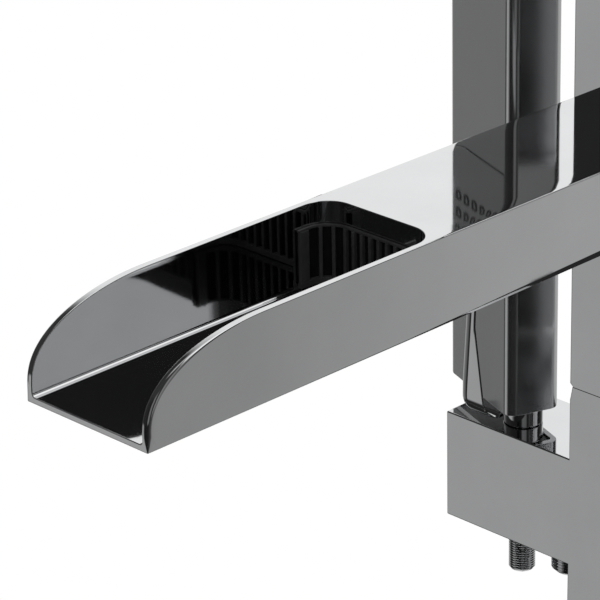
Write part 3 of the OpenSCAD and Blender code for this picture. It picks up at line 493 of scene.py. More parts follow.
# %% From a bmesh to a finished piece
def piece(name, bm, look_of, body, slot_name, *nodes, sharp=35):
    """Makes a bmesh an object that rides on a body and stands in for those CAD nodes."""
    bmesh.ops.remove_doubles(bm, verts=bm.verts, dist=0.0000005)
    bmesh.ops.recalc_face_normals(bm, faces=bm.faces)
    for f in bm.faces:
        f.smooth = True
    open_edges = sum(not e.is_manifold for e in bm.edges)
    mesh = bpy.data.meshes.new(name)
    bm.to_mesh(mesh)
    bm.free()
    mesh.set_sharp_from_angle(angle=math.radians(sharp))
    mesh.materials.append(look_of)
    ob = bpy.data.objects.new(name, mesh)
    scene.collection.objects.link(ob)
    keep = ob.modifiers.new("even_faces", "WEIGHTED_NORMAL")
    keep.keep_sharp = True
    keep.weight = 80
    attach(ob, body)
    if nodes:
        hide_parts(*nodes)
    print(f"{name}: {len(mesh.polygons)} faces, {open_edges} open edges")
    return ob


# %% [markdown]
# ## The spout
# The spout is a bar whose front is an open trough. The CAD has it as a body between two
# cheeks. The photograph shows no joint between them, so here they are one mesh. A trough
# could be cut out of a block with a boolean, but that leaves poor edges to round. It is
# built as half a spout, from the outline of its side. The outline
# has two faces, the wall above the trough's floor and the floor with the solid rear. Both
# are extruded by the wall's thickness; then only the floor and the rear go on to the
# middle, and the half is mirrored. The curve at the front is a spun arc, squashed to an
# ellipse and made a little fuller.

# %% The spout's sizes
spout_lo, spout_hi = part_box("spout_left")[0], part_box("spout_right")[1]
SPOUT_WALL, SPOUT_FLOOR = 2.2 * mm, 2.0 * mm
# The front curve's length and height, and a power: under 1 it is fuller than an ellipse
LIP_L, LIP_H, LIP_FULL = 45 * mm, 23.5 * mm, 0.834
WELL_Y, WELL_R = -132 * mm, 9 * mm
floor_z = spout_lo.z + SPOUT_FLOOR


def lip_arc(bm, x):
    """The curve at the front of a side wall, from the upright lip to the top."""
    start = bm.verts.new((x, spout_lo.y, spout_hi.z - LIP_H))
    bmesh.ops.spin(bm, geom=[start], cent=(x, spout_lo.y + LIP_L, spout_hi.z - LIP_H), axis=(1, 0, 0),
                   dvec=(0, 0, 0), angle=-math.pi / 2, steps=32, use_merge=False, use_duplicate=False)
    arc = [start]
    while True:
        onward = [e.other_vert(arc[-1]) for e in arc[-1].link_edges if e.other_vert(arc[-1]) not in arc]
        if not onward:
            break
        arc.append(onward[0])
    for v in arc:
        share = min(max((v.co.z - (spout_hi.z - LIP_H)) / LIP_L, 0.0), 1.0)
        v.co.z = spout_hi.z - LIP_H + LIP_H * share ** LIP_FULL
    return arc


# %% Half a spout, mirrored
def half_spout(bm):
    """The spout from its left face to the middle, open where the mirror joins it."""
    x = spout_lo.x
    arc = lip_arc(bm, x)
    v = {k: bm.verts.new((x, y, z)) for k, y, z in (
        ("tip_low", spout_lo.y, spout_lo.z), ("tip_floor", spout_lo.y, floor_z),
        ("well_floor", WELL_Y, floor_z), ("well_top", WELL_Y, spout_hi.z),
        ("back_top", spout_hi.y, spout_hi.z), ("back_low", spout_hi.y, spout_lo.z))}
    wall = bm.faces.new([v["tip_floor"], v["well_floor"], v["well_top"]] + arc[::-1])
    base = bm.faces.new([v["tip_low"], v["back_low"], v["back_top"], v["well_top"], v["well_floor"],
                         v["tip_floor"]])
    bmesh.ops.extrude_face_region(bm, geom=[wall, base], use_keep_orig=True)
    inner = [f for f in bm.faces if f not in (wall, base) and len(f.verts) > 4]
    caps = sorted(inner, key=lambda f: len(f.verts))[-2:]
    bmesh.ops.translate(bm, verts=list({q for f in caps for q in f.verts}), vec=(SPOUT_WALL, 0, 0))
    base_cap = min(caps, key=lambda f: len(f.verts))
    made = bmesh.ops.extrude_face_region(bm, geom=[base_cap])["geom"]
    move_made(bm, made, (-x - SPOUT_WALL, 0, 0))
    ends = [g for g in made if isinstance(g, bmesh.types.BMFace)] + [f for f in (base_cap,) if f.is_valid]
    bmesh.ops.delete(bm, geom=ends, context="FACES_ONLY")


bm = bmesh.new()
half_spout(bm)
bmesh.ops.mirror(bm, geom=bm.verts[:] + bm.edges[:] + bm.faces[:], axis="X", merge_dist=0.000001)
bmesh.ops.remove_doubles(bm, verts=bm.verts, dist=0.000001)
bmesh.ops.recalc_face_normals(bm, faces=bm.faces)
print("spout block:", len(bm.faces), "faces, open edges:", sum(not e.is_manifold for e in bm.edges))

# %% [markdown]
# The corners of the well are rounded first, then the fillets along the floor, then all
# outer edges. The bar is cut across at a few places before that, so that there are
# vertices to move afterwards. They are then moved as a polishing wheel would wear them:
# the lowest strip of each side leans in towards the column, the outer edge of the front
# curve gets rounder, and the flat top rolls off at its sides. One bevel can't do this,
# because its radius is the same all along an edge.

# %% The spout's roundings
well_corners = [e for e in bm.edges if along(e, 2) and at(middle(e).y, WELL_Y)
                and at(abs(middle(e).x), spout_hi.x - SPOUT_WALL) and middle(e).z > floor_z]
round_edges(bm, well_corners, WELL_R, 12)
floor_edges = [e for e in bm.edges if all(at(q.co.z, floor_z) for q in e.verts)
               and any(f.normal.z > 0.9 for f in e.link_faces) and not e.is_convex
               and not at(e.verts[0].co.y + e.verts[1].co.y, 2 * spout_lo.y)]
FLOOR_FILLET, EDGE_R = 1.2 * mm, 0.3 * mm
CUTS_MM = (spout_lo.y / mm + 3, -45, -62, -74, -86, -98, -108, -118, -128, -138, -148)
round_edges(bm, floor_edges, FLOOR_FILLET, 4)
for y in CUTS_MM:
    cut_across(bm, (0, y * mm, 0), (0, 1, 0))
round_edges(bm, [e for e in corner_edges(bm) if not at(middle(e).y, spout_hi.y)], EDGE_R, 5, clamp=False)
print("cut across at", len(CUTS_MM), "places, faces:", len(bm.faces))

# %% The lowest strip of the sides
LEAN_H, LEAN_FROM_MM, LEAN_OVER_MM = 2.2 * mm, -157, 100
# Shares of the strip's height: how high its upper line is, and how far in that and the foot go
UPPER_SHARE, UPPER_IN_SHARE, FOOT_IN_SHARE = 0.93, 0.015, 0.22
REACH = EDGE_R * 1.01


def polish_under(bm):
    """Leans the lowest strip of each side in, by a height that grows towards the column."""
    for v in bm.verts:
        off_x, off_z = spout_hi.x - abs(v.co.x), v.co.z - spout_lo.z
        if max(off_x, off_z) < REACH:
            tall = LEAN_H * max(0.0, min(1.0, (v.co.y / mm - LEAN_FROM_MM) / LEAN_OVER_MM))
            if off_x < 0.02 * EDGE_R:
                v.co.z += tall
            elif off_x < 0.1 * EDGE_R:
                v.co.z += tall * UPPER_SHARE
                off_x += UPPER_IN_SHARE * tall
            else:
                off_x += FOOT_IN_SHARE * tall
            v.co.x = math.copysign(spout_hi.x - off_x, v.co.x)


polish_under(bm)
print("lowest strip up to", round(LEAN_H / mm, 1), "mm high")

# %% The rounder edge of the front curve
LIP_R, FAR_LIP_R, LIP_FADE = 1.7 * mm, 0.6 * mm, 3.5 * mm
SLOPE_STEP = 0.2 * mm


def lip_rim_y(z):
    """Where the front curve is at a height."""
    share = min(max((z - (spout_hi.z - LIP_H)) / LIP_H, 0.0), 0.999) ** (1 / LIP_FULL)
    return spout_lo.y + LIP_L * (1 - math.sqrt(1 - share * share))


def polish_lip(bm):
    """Makes the curve's outer edge rounder towards the tip, and fades that at the lowest corner."""
    for v in bm.verts:
        off_x, z = spout_hi.x - abs(v.co.x), v.co.z
        if off_x > REACH or v.co.y > spout_lo.y + LIP_L * 0.8:
            continue
        slope = (lip_rim_y(z + SLOPE_STEP) - lip_rim_y(z - SLOPE_STEP)) / (2 * SLOPE_STEP)
        inward = Vector((0, 1, -slope)).normalized()
        deep = (v.co.y - lip_rim_y(z)) * inward.y
        if deep < EDGE_R * 1.15:
            height = max(0.0, (z - (spout_hi.z - LIP_H)) / LIP_H)
            radius = LIP_R if v.co.x > 0 else FAR_LIP_R
            grow = (radius / EDGE_R - 1) * max(0.0, 1 - height ** 3)
            grow *= max(0.0, min(1.0, (z - spout_lo.z - EDGE_R) / LIP_FADE))
            v.co += grow * deep * inward
            v.co.x -= math.copysign(grow * off_x, v.co.x)


polish_lip(bm)
print("front edge radius in mm:", round(LIP_R / mm, 1), "right,", round(FAR_LIP_R / mm, 1), "left")

# %% The roll-off of the top
ROLL_CUTS_MM = (1.2, 2.2, 3.4, 5.0)
ROLL_DEEP, ROLL_FROM_MM, ROLL_OVER_MM = 0.05 * mm, -130, 25
TOP_STRIP = 4 * mm
for d in ROLL_CUTS_MM:
    for s in (-1, 1):
        faces = [f for f in bm.faces if f.normal.z > 0.99 and at(f.calc_center_median().z, spout_hi.z, 0.0001)
                 and f.calc_center_median().y > WELL_Y]
        geom = list({g for f in faces for g in (*f.verts, *f.edges, f)})
        bmesh.ops.bisect_plane(bm, geom=geom, plane_co=(s * (spout_hi.x - d * mm), 0, 0), plane_no=(1, 0, 0))
for v in bm.verts:
    if v.co.z > spout_hi.z - TOP_STRIP and v.co.y > WELL_Y:
        d = (spout_hi.x - abs(v.co.x)) / mm
        share = max(0.0, min(1.0, (v.co.y / mm - ROLL_FROM_MM) / ROLL_OVER_MM))
        v.co.z -= ROLL_DEEP * share * max(0.0, (ROLL_CUTS_MM[-1] - d) / ROLL_CUTS_MM[-1]) ** 2
piece("spout_bar", bm, chrome, "stand", "chrome", "spout_body", "spout_left", "spout_right")

# %% [markdown]
# ## The flow insert
# A black plastic insert lines the back of the well. Water comes out between its upright
# slats. It could be one strip with slots cut through it, but cut slots need a boolean and
# leave poor edges. Here the rims are an edge that is extruded along the straight parts
# and spun round the two corners, and the slats are small bevelled blocks between them. A
# thinner near-black matt strip of painted shade stands behind the slats, so the gaps
# look deep. The two sides are plain blocks without gaps.

# %% The flow insert
ins_lo, ins_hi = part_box("flow_insert")
INS_T, SLAT_H, SLAT_HALF = 1.8 * mm, 18.6 * mm, 0.6 * mm
SLAT_STEP, CORNER_STEP = 3.3 * mm, 4.2 * mm
RIM = max(2.0 * mm, ins_hi.z - ins_lo.z - SLAT_H)
ins_r = WELL_R - 0.1 * mm
ins_x = ins_hi.x - ins_r
ins_y = ins_hi.y - ins_r


def strip(bm, z0, z1, inner, outer):
    """A U-shaped strip between two offsets from the well's wall."""
    a, b = ins_hi.x - outer, ins_hi.x - inner
    verts = [bm.verts.new((a, ins_lo.y, z0)), bm.verts.new((b, ins_lo.y, z0))]
    edge = bm.edges.new(verts)
    start = set(bm.faces)

    def straight(edge, move):
        made = bmesh.ops.extrude_edge_only(bm, edges=[edge])["geom"]
        move_made(bm, made, move)
        return [g for g in made if isinstance(g, bmesh.types.BMEdge) and g is not edge
                and len(g.link_faces) == 1][0]

    def corner(edge, centre):
        made = bmesh.ops.spin(bm, geom=[edge, *edge.verts], cent=centre, axis=(0, 0, 1), dvec=(0, 0, 0),
                              angle=math.pi / 2, steps=10, use_merge=False, use_duplicate=False)["geom_last"]
        return [g for g in made if isinstance(g, bmesh.types.BMEdge)][0]

    edge = straight(edge, (0, ins_y - ins_lo.y, 0))
    edge = corner(edge, (ins_x, ins_y, z0))
    edge = straight(edge, (-2 * ins_x, 0, 0))
    edge = corner(edge, (-ins_x, ins_y, z0))
    edge = straight(edge, (0, ins_lo.y - ins_y, 0))
    faces = [f for f in bm.faces if f not in start]
    made = bmesh.ops.extrude_face_region(bm, geom=faces, use_keep_orig=True)["geom"]
    move_made(bm, made, (0, 0, z1 - z0))


# The strip behind the slats is painted shade: a near-black matt sheet for the dark depth behind the gaps
bm = bmesh.new()
strip(bm, ins_lo.z + RIM - 0.4 * mm, ins_hi.z - 0.6 * mm, 0.03 * mm, 0.4 * mm)
piece("flow_slots_painted_shade", bm, slot_shade, "stand", "insert", "flow_insert")

# %% The rims and the slats
bm = bmesh.new()
strip(bm, ins_lo.z, ins_lo.z + RIM, 0, INS_T)
strip(bm, ins_hi.z - 0.9 * mm, ins_hi.z, 0, 1.1 * mm)
bmesh.ops.recalc_face_normals(bm, faces=bm.faces)
round_edges(bm, [e for e in corner_edges(bm) if e.calc_length() > 0], 0.25 * mm, 2)


def slat(bm, half_width, turn_by, at_wall):
    """An upright slat with rounded edges, turned to stand square to the wall."""
    foot_z, head_z = ins_lo.z + RIM - 0.3 * mm, ins_hi.z - 0.7 * mm
    verts = block(bm, (-1.7 * mm, -half_width, foot_z), (-0.2 * mm, half_width, head_z))
    made = round_edges(bm, {e for v in verts for e in v.link_edges if along(e, 2)}, 0.25 * mm, 2)
    verts = list({v for v in verts if v.is_valid} | set(made["verts"]))
    bmesh.ops.rotate(bm, verts=verts, cent=(0, 0, 0), matrix=Matrix.Rotation(turn_by, 3, "Z"))
    bmesh.ops.translate(bm, verts=verts, vec=at_wall)


across = round(2 * ins_x / SLAT_STEP)
round_corner = round(ins_r * math.pi / 2 / CORNER_STEP)
side_half = (ins_y - ins_lo.y) / 2
for s, turn_by in ((1, 0), (-1, math.pi)):
    slat(bm, side_half - 0.2 * mm, turn_by, Vector((s * ins_hi.x, ins_y - side_half, 0)))
    for k in range(1, round_corner):
        angle = math.pi / 2 * k / round_corner
        out = Vector((s * math.cos(angle), math.sin(angle), 0))
        slat(bm, SLAT_HALF, math.atan2(out.y, out.x), Vector((s * ins_x, ins_y, 0)) + ins_r * out)
for k in range(across + 1):
    slat(bm, SLAT_HALF, math.pi / 2, Vector((ins_x * (1 - 2 * k / across), ins_hi.y, 0)))
piece("flow_grille", bm, slat_plastic, "stand", "insert", "flow_insert")
print("slats:", across + 1 + 2 * (round_corner - 1), "and two sides; lower rim in mm:", round(RIM / mm, 2))

# %% [markdown]
# ## The column
# The column is three straight lengths with a fine black gasket in each seam; the gaskets
# are the CAD nodes themselves. The tubes could be open shells with a solidify modifier.
# Here they are boxes whose ends are inset and pushed in, so the wall shows where one looks
# in, and the mesh is finished at once. Their upright edges have a small radius. At a seam
# the left and right faces lean in, which makes the V that the seam shows.

# %% The column's tubes
EDGE = 0.6 * mm
SEAM_H, SEAM_IN, SEAM_SHUT = 1.0 * mm, 1.1 * mm, 0.3 * mm
TUBE_WALL, END_DEEP = 0.8 * mm, 6 * mm
SCREW_X, SCREW_IN, SCREW_HOLE_R, HOLE_DEEP = 12 * mm, 12 * mm, 2.15 * mm, 1.2 * mm
FOOT_T = 6 * mm


def tube(name, node_name, holes=(), longer=(0, 0)):
    """A length of column. longer closes the seams a little, at its lower and upper end."""
    lo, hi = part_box(node_name)
    lo.z, hi.z = lo.z - longer[0], hi.z + longer[1]
    bm = bmesh.new()
    block(bm, lo, hi)
    round_edges(bm, upright_edges(bm), EDGE, 5)
    for z, inner in ((hi.z - SEAM_H, hi.z), (lo.z + SEAM_H, lo.z)):
        cut_across(bm, (0, 0, z), (0, 0, 1))
        for v in bm.verts:
            if at(v.co.z, inner):
                v.co.x *= 1 - SEAM_IN / hi.x
    bm.normal_update()
    for f in [f for f in bm.faces if abs(f.normal.z) > 0.999]:
        into = Vector((0, 0, math.copysign(END_DEEP, -f.normal.z)))
        bmesh.ops.inset_region(bm, faces=[f], thickness=TUBE_WALL, use_even_offset=True)
        push(bm, [f], into)
    for group in holes:
        back = flat_face(bm, (0, 1, 0), (0, hi.y, group[0][0].z))
        for rim in holes_in_face(bm, back, group, 32):
            sink(bm, rim, (0, -HOLE_DEEP, 0))
    return piece(name, bm, chrome, "stand", "chrome", node_name)


foot_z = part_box("column_foot")[0].z + FOOT_T + SCREW_IN
low_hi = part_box("lower_column")[1]
up_lo, up_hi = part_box("riser")
low_holes = [(Vector((x, low_hi.y, z)), SCREW_HOLE_R) for x in (-SCREW_X, SCREW_X)
             for z in (foot_z, low_hi.z - SCREW_IN)]
up_holes = [(Vector((x, up_hi.y, up_lo.z + SCREW_IN)), SCREW_HOLE_R) for x in (-SCREW_X, SCREW_X)]
tube("lower_tube", "lower_column", [low_holes], (0, SEAM_SHUT))
tube("riser_tube", "riser", [up_holes], (SEAM_SHUT, 0))

# %% [markdown]
# ## The set screws
# The tubes are held by headless screws from behind. A real one has a thread, but only its
# face can be seen, so each is a short cylinder with a six-sided socket. The socket is a
# circle of six segments in the face, sunk like every other hole.

# %% The set screws
SET_R, SET_L, KEY_R, SET_SUNK = 2.0 * mm, 3 * mm, 1.0 * mm, 0.4 * mm


def socket_screw(bm, centre, radius, length, key):
    """A headless screw that faces back, with a six-sided socket in its face."""
    place = Matrix.Translation(centre) @ Matrix.Rotation(-math.pi / 2, 4, "X")
    place = place @ Matrix.Translation((0, 0, -length / 2))
    made = bmesh.ops.create_cone(bm, cap_ends=True, cap_tris=False, segments=32, radius1=radius,
                                 radius2=radius, depth=length, matrix=place)
    bm.normal_update()
    face = max((f for v in made["verts"] for f in v.link_faces), key=lambda f: f.calc_center_median().y)
    bmesh.ops.inset_region(bm, faces=[face], thickness=radius * 0.12)
    for rim in holes_in_face(bm, face, [(centre, key)], 6):
        sink(bm, rim, (0, -length * 0.5, 0))


for name, screws, holes in (("lower_set_screws", "lower_screws", low_holes),
                            ("upper_set_screws", "body_screws", up_holes)):
    bm = bmesh.new()
    for centre, _ in holes:
        socket_screw(bm, centre - Vector((0, SET_SUNK, 0)), SET_R, SET_L, KEY_R)
    piece(name, bm, steel, "stand", "steel", screws)

# %% [markdown]
# ## The riser's cap
# A flat lid closes the column. Its top edge is rounded more than its lower one, as on a
# polished stopper. A bevel modifier would round all edges alike, so each set of edges is
# picked by its height and bevelled by itself.

# %% The riser's cap
CAP_T = 4 * mm
cap_lo, cap_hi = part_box("riser_cap")
bm = bmesh.new()
block(bm, (cap_lo.x, cap_lo.y, cap_hi.z - CAP_T), cap_hi)
round_edges(bm, upright_edges(bm), EDGE, 5)
round_edges(bm, level_edges(bm, cap_hi.z), 1.2 * mm, 4)
round_edges(bm, level_edges(bm, cap_hi.z - CAP_T), 0.35 * mm, 2)
piece("riser_lid", bm, chrome, "stand", "chrome", "riser_cap")

# %% [markdown]
# ## The mixer body
# The body is a cross: two arms, the part above them that meets the riser and the part
# below that meets the lower tube. Two blocks joined by a boolean would do, but one
# outline extruded front to back gives cleaner edges. Each round opening is made by
# filling a flat face again round a circle, which is then sunk into the body.

# %% The mixer body
arm_lo, arm_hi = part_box("mixer_body")
seam_low, seam_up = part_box("lower_gasket")[1].z - SEAM_SHUT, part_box("upper_gasket")[0].z + SEAM_SHUT
dock_lo, dock_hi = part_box("dock_bushing")
arm_low, arm_top = dock_lo.z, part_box("handset_rest")[0].z
arm_mid = (arm_low + arm_top) / 2
half = up_hi.x
ax, front, back = arm_hi.x, arm_lo.y, arm_hi.y
SEAM_STRIP = 5.5 * mm
dock = Vector(((dock_lo.x + dock_hi.x) / 2, (dock_lo.y + dock_hi.y) / 2, arm_top))
bm = bmesh.new()
cross = [(-ax, arm_low), (-half, arm_low), (-half, seam_low), (half, seam_low), (half, arm_low),
         (ax, arm_low), (ax, arm_top), (half, arm_top), (half, seam_up), (-half, seam_up),
         (-half, arm_top), (-ax, arm_top)]
extruded(bm, [(x, front, z) for x, z in cross], (0, back - front, 0))
for z, inner in ((seam_up - SEAM_STRIP, seam_up), (seam_low + SEAM_STRIP, seam_low)):
    cut_across(bm, (0, 0, z), (0, 0, 1))
    for v in bm.verts:
        if at(v.co.z, inner):
            v.co.x -= math.copysign(SEAM_IN, v.co.x)
bmesh.ops.recalc_face_normals(bm, faces=bm.faces)
round_edges(bm, corner_edges(bm), 0.5 * mm, 3)
print("cross:", len(bm.faces), "faces")

# %% The openings of the mixer body
DOCK_R, DIVERTER_R, VALVE_R, PLUG_HOLE_R = 6.3 * mm, 7.1 * mm, 12.6 * mm, 9.15 * mm
DIVERTER_DEEP, VALVE_DEEP, PLUG_DEEP = 16 * mm, 32 * mm, 8.4 * mm
div_lo, div_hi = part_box("diverter_ring")
div = Vector(((div_lo.x + div_hi.x) / 2, 0, arm_top))


def arm_face(bm, up, z, right):
    """The largest face of an arm that looks up (1) or down (-1) at a height, right (1) or left (-1)."""
    return max((f for f in bm.faces if f.normal.z * up > 0.99 and at(f.calc_center_median().z, z, 0.0002)
                and f.calc_center_median().x * right > 0), key=lambda f: f.calc_area())


rim, = holes_in_face(bm, flat_face(bm, (0, 0, 1), dock), [(dock, DOCK_R)])
under = Vector((dock.x, dock.y, arm_low))
rim_low, = holes_in_face(bm, arm_face(bm, -1, arm_low, -1), [(under, DOCK_R)])
bmesh.ops.bridge_loops(bm, edges=rim + rim_low)
rim, = holes_in_face(bm, arm_face(bm, 1, arm_top, 1), [(div, DIVERTER_R)])
sink(bm, rim, (0, 0, -DIVERTER_DEEP))
for s, radius, deep in ((1, VALVE_R, VALVE_DEEP), (-1, PLUG_HOLE_R, PLUG_DEEP)):
    end = Vector((s * ax, 0, arm_mid))
    rim, = holes_in_face(bm, flat_face(bm, (s, 0, 0), end), [(end, radius)])
    sink(bm, rim, (-s * deep, 0, 0))
piece("cross_body", bm, chrome, "stand", "chrome", "mixer_body")

# %% [markdown]
# ## The plug and the hose outlet
# A plug with a six-sided socket closes the left arm, and a threaded nipple under it takes
# the hose. A true thread is a helix, but at this size rings look the same and close more
# easily, so the thread is part of an outline that is turned about the nipple's axis.

# %% The plug in the left end
PLUG_R, PLUG_L, PLUG_KEY_R = 9 * mm, 7 * mm, 4 * mm
bm = bmesh.new()
bmesh.ops.create_cone(bm, cap_ends=True, cap_tris=False, segments=64, radius1=PLUG_R, radius2=PLUG_R,
                      depth=PLUG_L, matrix=Matrix.Translation((-ax + 3.7 * mm, 0, arm_mid))
                      @ Matrix.Rotation(math.pi / 2, 4, "Y"))
bm.normal_update()
plug_face = Vector((-ax + 0.2 * mm, 0, arm_mid))
rim, = holes_in_face(bm, flat_face(bm, (-1, 0, 0), plug_face), [(plug_face, PLUG_KEY_R)], 6)
sink(bm, rim, (3.5 * mm, 0, 0))
round_edges(bm, [e for e in corner_edges(bm) if e.calc_length() < 3 * mm], 0.35 * mm, 3)
piece("end_plug", bm, chrome, "stand", "chrome", "body_plug")

# %% The hose outlet
def thread(z, stop, pitch, corners, crest, root):
    """Outline points of a thread from z up to stop. corners are three heights within one pitch."""
    rise, flat, fall = corners
    points = []
    while z + pitch < stop:
        points += [(crest, z + rise), (crest, z + flat), (root, z + fall), (root, z + pitch)]
        z += pitch
    return points


hose_lo, hose_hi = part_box("hose_outlet")
place = Matrix.Translation(((hose_lo.x + hose_hi.x) / 2, 0, 0))
hose_low = arm_low - 12 * mm
crest = 7.5 * mm
root = crest - 0.6 * mm
outline = [(4 * mm, arm_low + 0.2 * mm), (4 * mm, hose_low), (crest - 1.2 * mm, hose_low),
           (root, hose_low + 0.8 * mm)]
outline += thread(hose_low + 0.8 * mm, arm_low - 3.2 * mm, 1.1 * mm, (0.35 * mm, 0.55 * mm, 0.9 * mm),
                  crest, root)
outline += [(root, arm_low - 2.6 * mm), (crest, arm_low - 2.3 * mm), (crest, arm_low + 0.2 * mm)]
bm = bmesh.new()
turned(bm, outline, place)
piece("hose_nipple", bm, chrome, "stand", "chrome", "hose_outlet")

# %% [markdown]
# ## The valve side
# A square-shouldered ring closes the right arm's end. The lever is a turned hub with a
# flat blade that narrows to a straight grip. Both could be one mesh, but hub and blade
# meet inside each other and no one sees that, so two closed shells in one piece do. It
# rides on the lever's body, so it tilts and turns with the valve.

# %% The ring, the stem and the lever
def axis_x(x):
    """Puts a shape that was turned about Z on the valve's axis, with its height along +X from x."""
    return Matrix.Translation((x, 0, arm_mid)) @ Matrix.Rotation(math.pi / 2, 4, "Y")


bm = bmesh.new()
ring = [(10 * mm, 0), (13.5 * mm, 0), (13.5 * mm, 2.8 * mm), (10 * mm, 2.8 * mm)]
turned(bm, soft_outline(ring, 0.7 * mm), axis_x(ax))
piece("valve_ring", bm, chrome, "stand", "chrome", "bonnet_ring")

lev_lo, lev_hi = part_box("lever_handle")
stem_lo, stem_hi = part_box("lever_stem")
hub_l = lev_hi.x - lev_lo.x
bm = bmesh.new()
stem = [(0, -12 * mm), (3 * mm, -12 * mm), (3 * mm, -0.2 * mm), (4 * mm, 0.2 * mm), (4 * mm, 11 * mm),
        (0, 11 * mm)]
turned(bm, soft_outline(stem, [0, 0, 0.3 * mm, 0.3 * mm, 0.3 * mm, 0]), axis_x(lev_lo.x), 40)
piece("valve_stem", bm, steel, "lever", "steel")

# %% The lever
HUB_R, CAP_R, CAP_DEEP = 11.5 * mm, 4.5 * mm, 1.2 * mm
bm = bmesh.new()
turned(bm, soft_outline([(4.1 * mm, 0), (HUB_R, 0), (HUB_R, hub_l), (CAP_R + 0.1 * mm, hub_l),
                         (CAP_R + 0.1 * mm, hub_l - CAP_DEEP), (4.1 * mm, hub_l - 1.3 * mm)],
                        [0.3 * mm, 0.9 * mm, 1.6 * mm, 0.3 * mm, 0, 0]), axis_x(lev_lo.x))
blade_t, blade_w, blade_l = 5 * mm, 12 * mm, lev_hi.z - arm_mid
x0 = lev_hi.x - blade_t
right_half = [(blade_w / 2, blade_l), (blade_w / 2, HUB_R + blade_w), (HUB_R * 0.97, 3 * mm),
              (HUB_R * 0.93, 0)]
outline = [(-y, z) for y, z in right_half[::-1]] + right_half
made_before = set(bm.verts)
extruded(bm, [(x0, y, arm_mid + z) for y, z in outline], (blade_t - 0.2 * mm, 0, 0))
blade = [v for v in bm.verts if v not in made_before]
bmesh.ops.recalc_face_normals(bm, faces=bm.faces)
grip = {e for v in blade for e in v.link_edges if middle(e).z > arm_mid + 1 * mm}
round_edges(bm, [e for e in grip if e in set(corner_edges(bm))], 1.1 * mm, 4)
piece("lever_grip", bm, chrome, "lever", "chrome", "lever_handle")

button = soft_outline([(0, 0), (CAP_R, 0), (CAP_R, 1.6 * mm), (0, 1.8 * mm)], [0, 0, 0.5 * mm, 0])
bm = bmesh.new()
turned(bm, button, axis_x(lev_hi.x - CAP_DEEP), 48)
piece("lever_cap", bm, grey_plastic, "lever", "grey", "index_cap")

# %% [markdown]
# ## The diverter
# A small square knob on the right arm sends the water to the spout or the handset. It
# could be a scaled cube with one bevel, but its upright edges are rounder than its top
# and its top is rounder than its foot, so each set gets its own bevel. The grey cap on it
# is the lever's, at the same size.

# %% The diverter's ring and knob
bm = bmesh.new()
turned(bm, soft_outline([(5 * mm, 0), (11 * mm, 0), (11 * mm, 1.5 * mm), (5 * mm, 1.5 * mm)], 0.5 * mm),
       Matrix.Translation(div))
piece("diverter_rose", bm, chrome, "stand", "chrome", "diverter_ring")

knob_lo, knob_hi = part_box("diverter_knob")
bm = bmesh.new()
block(bm, knob_lo, knob_hi)
round_edges(bm, upright_edges(bm), 3 * mm, 8)
round_edges(bm, level_edges(bm, knob_hi.z), 1.4 * mm, 5)
round_edges(bm, level_edges(bm, knob_lo.z), 0.6 * mm, 3)
centre = Vector((div.x, div.y, knob_hi.z))
rim, = holes_in_face(bm, flat_face(bm, (0, 0, 1), centre), [(centre, CAP_R + 0.1 * mm)])
sink(bm, rim, (0, 0, -CAP_DEEP))
piece("diverter_grip", bm, chrome, "knob", "chrome", "diverter_knob")
bm = bmesh.new()
turned(bm, button, Matrix.Translation(centre - Vector((0, 0, CAP_DEEP))), 48)
piece("diverter_cap", bm, grey_plastic, "knob", "grey", "knob_cap")

# %% [markdown]
# ## The dock
# The handset stands on a short round post that turns in the left arm. In front of it a
# narrow lip rises from a foot on the arm. The lip is a loft: one closed ring a height,
# bridged one to the next. Its front is flat with a round left edge, its back follows
# the handset, and its lower end curls back to the foot.

# %% The post
bm = bmesh.new()
sl_lo, sl_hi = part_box("dock_sleeve")
BORE = 5.06 * mm
turned(bm, soft_outline([(BORE, sl_lo.z), (6 * mm, sl_lo.z), (6 * mm, arm_top + 0.3 * mm),
                         (6.9 * mm, arm_top + 0.3 * mm), (6.9 * mm, sl_hi.z), (BORE, sl_hi.z)],
                        [0.2 * mm, 0.4 * mm, 0, 0.5 * mm, 0.6 * mm, 0.3 * mm]),
       Matrix.Translation((dock.x, dock.y, 0)))
piece("dock_post", bm, chrome, "dock", "chrome", "dock_sleeve")

# %% The lip in front of the handset
HAND_TURN = math.radians(20.4)
HAND_T = 20.3 * mm
rest_y = front + 1.8 * mm
rest_lo, rest_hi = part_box("handset_rest")


def behind(x):
    """How far back the lip may reach at x: a small gap in front of the handset's face."""
    return dock.y - (HAND_T / 2 + 0.5 * mm) / math.cos(HAND_TURN) - (x - dock.x) * math.tan(HAND_TURN)


# How high the curl at the foot goes, and how deep the round left edge is
BEND, ROUND_Y = 7 * mm, 2.6 * mm


def rest_ring(bm, z, left, flat, right):
    """One section of the lip: flat in front, a long round edge to the left, a back along the handset."""
    y0 = rest_y + (BEND - math.sqrt(max(0.0, BEND ** 2 - (BEND - z) ** 2)) if z < BEND else 0)
    pts = [(right, y0 + 0.2 * mm), (right - 0.2 * mm, y0)]
    for k in range(10):
        a = math.pi / 2 * k / 9
        pts.append((flat + (left - flat) * math.sin(a), y0 + ROUND_Y * (1 - math.cos(a))))
    back = max(behind(left), y0 + ROUND_Y + 0.4 * mm)
    pts += [(left + 0.1 * mm, back - 0.2 * mm), (left + 0.5 * mm, back), (right - 0.3 * mm, y0 + 0.9 * mm),
            (right, y0 + 0.7 * mm)]
    verts = [bm.verts.new((x, y, arm_top + z)) for x, y in pts]
    return [bm.edges.new((verts[i], verts[(i + 1) % len(verts)])) for i in range(len(verts))]


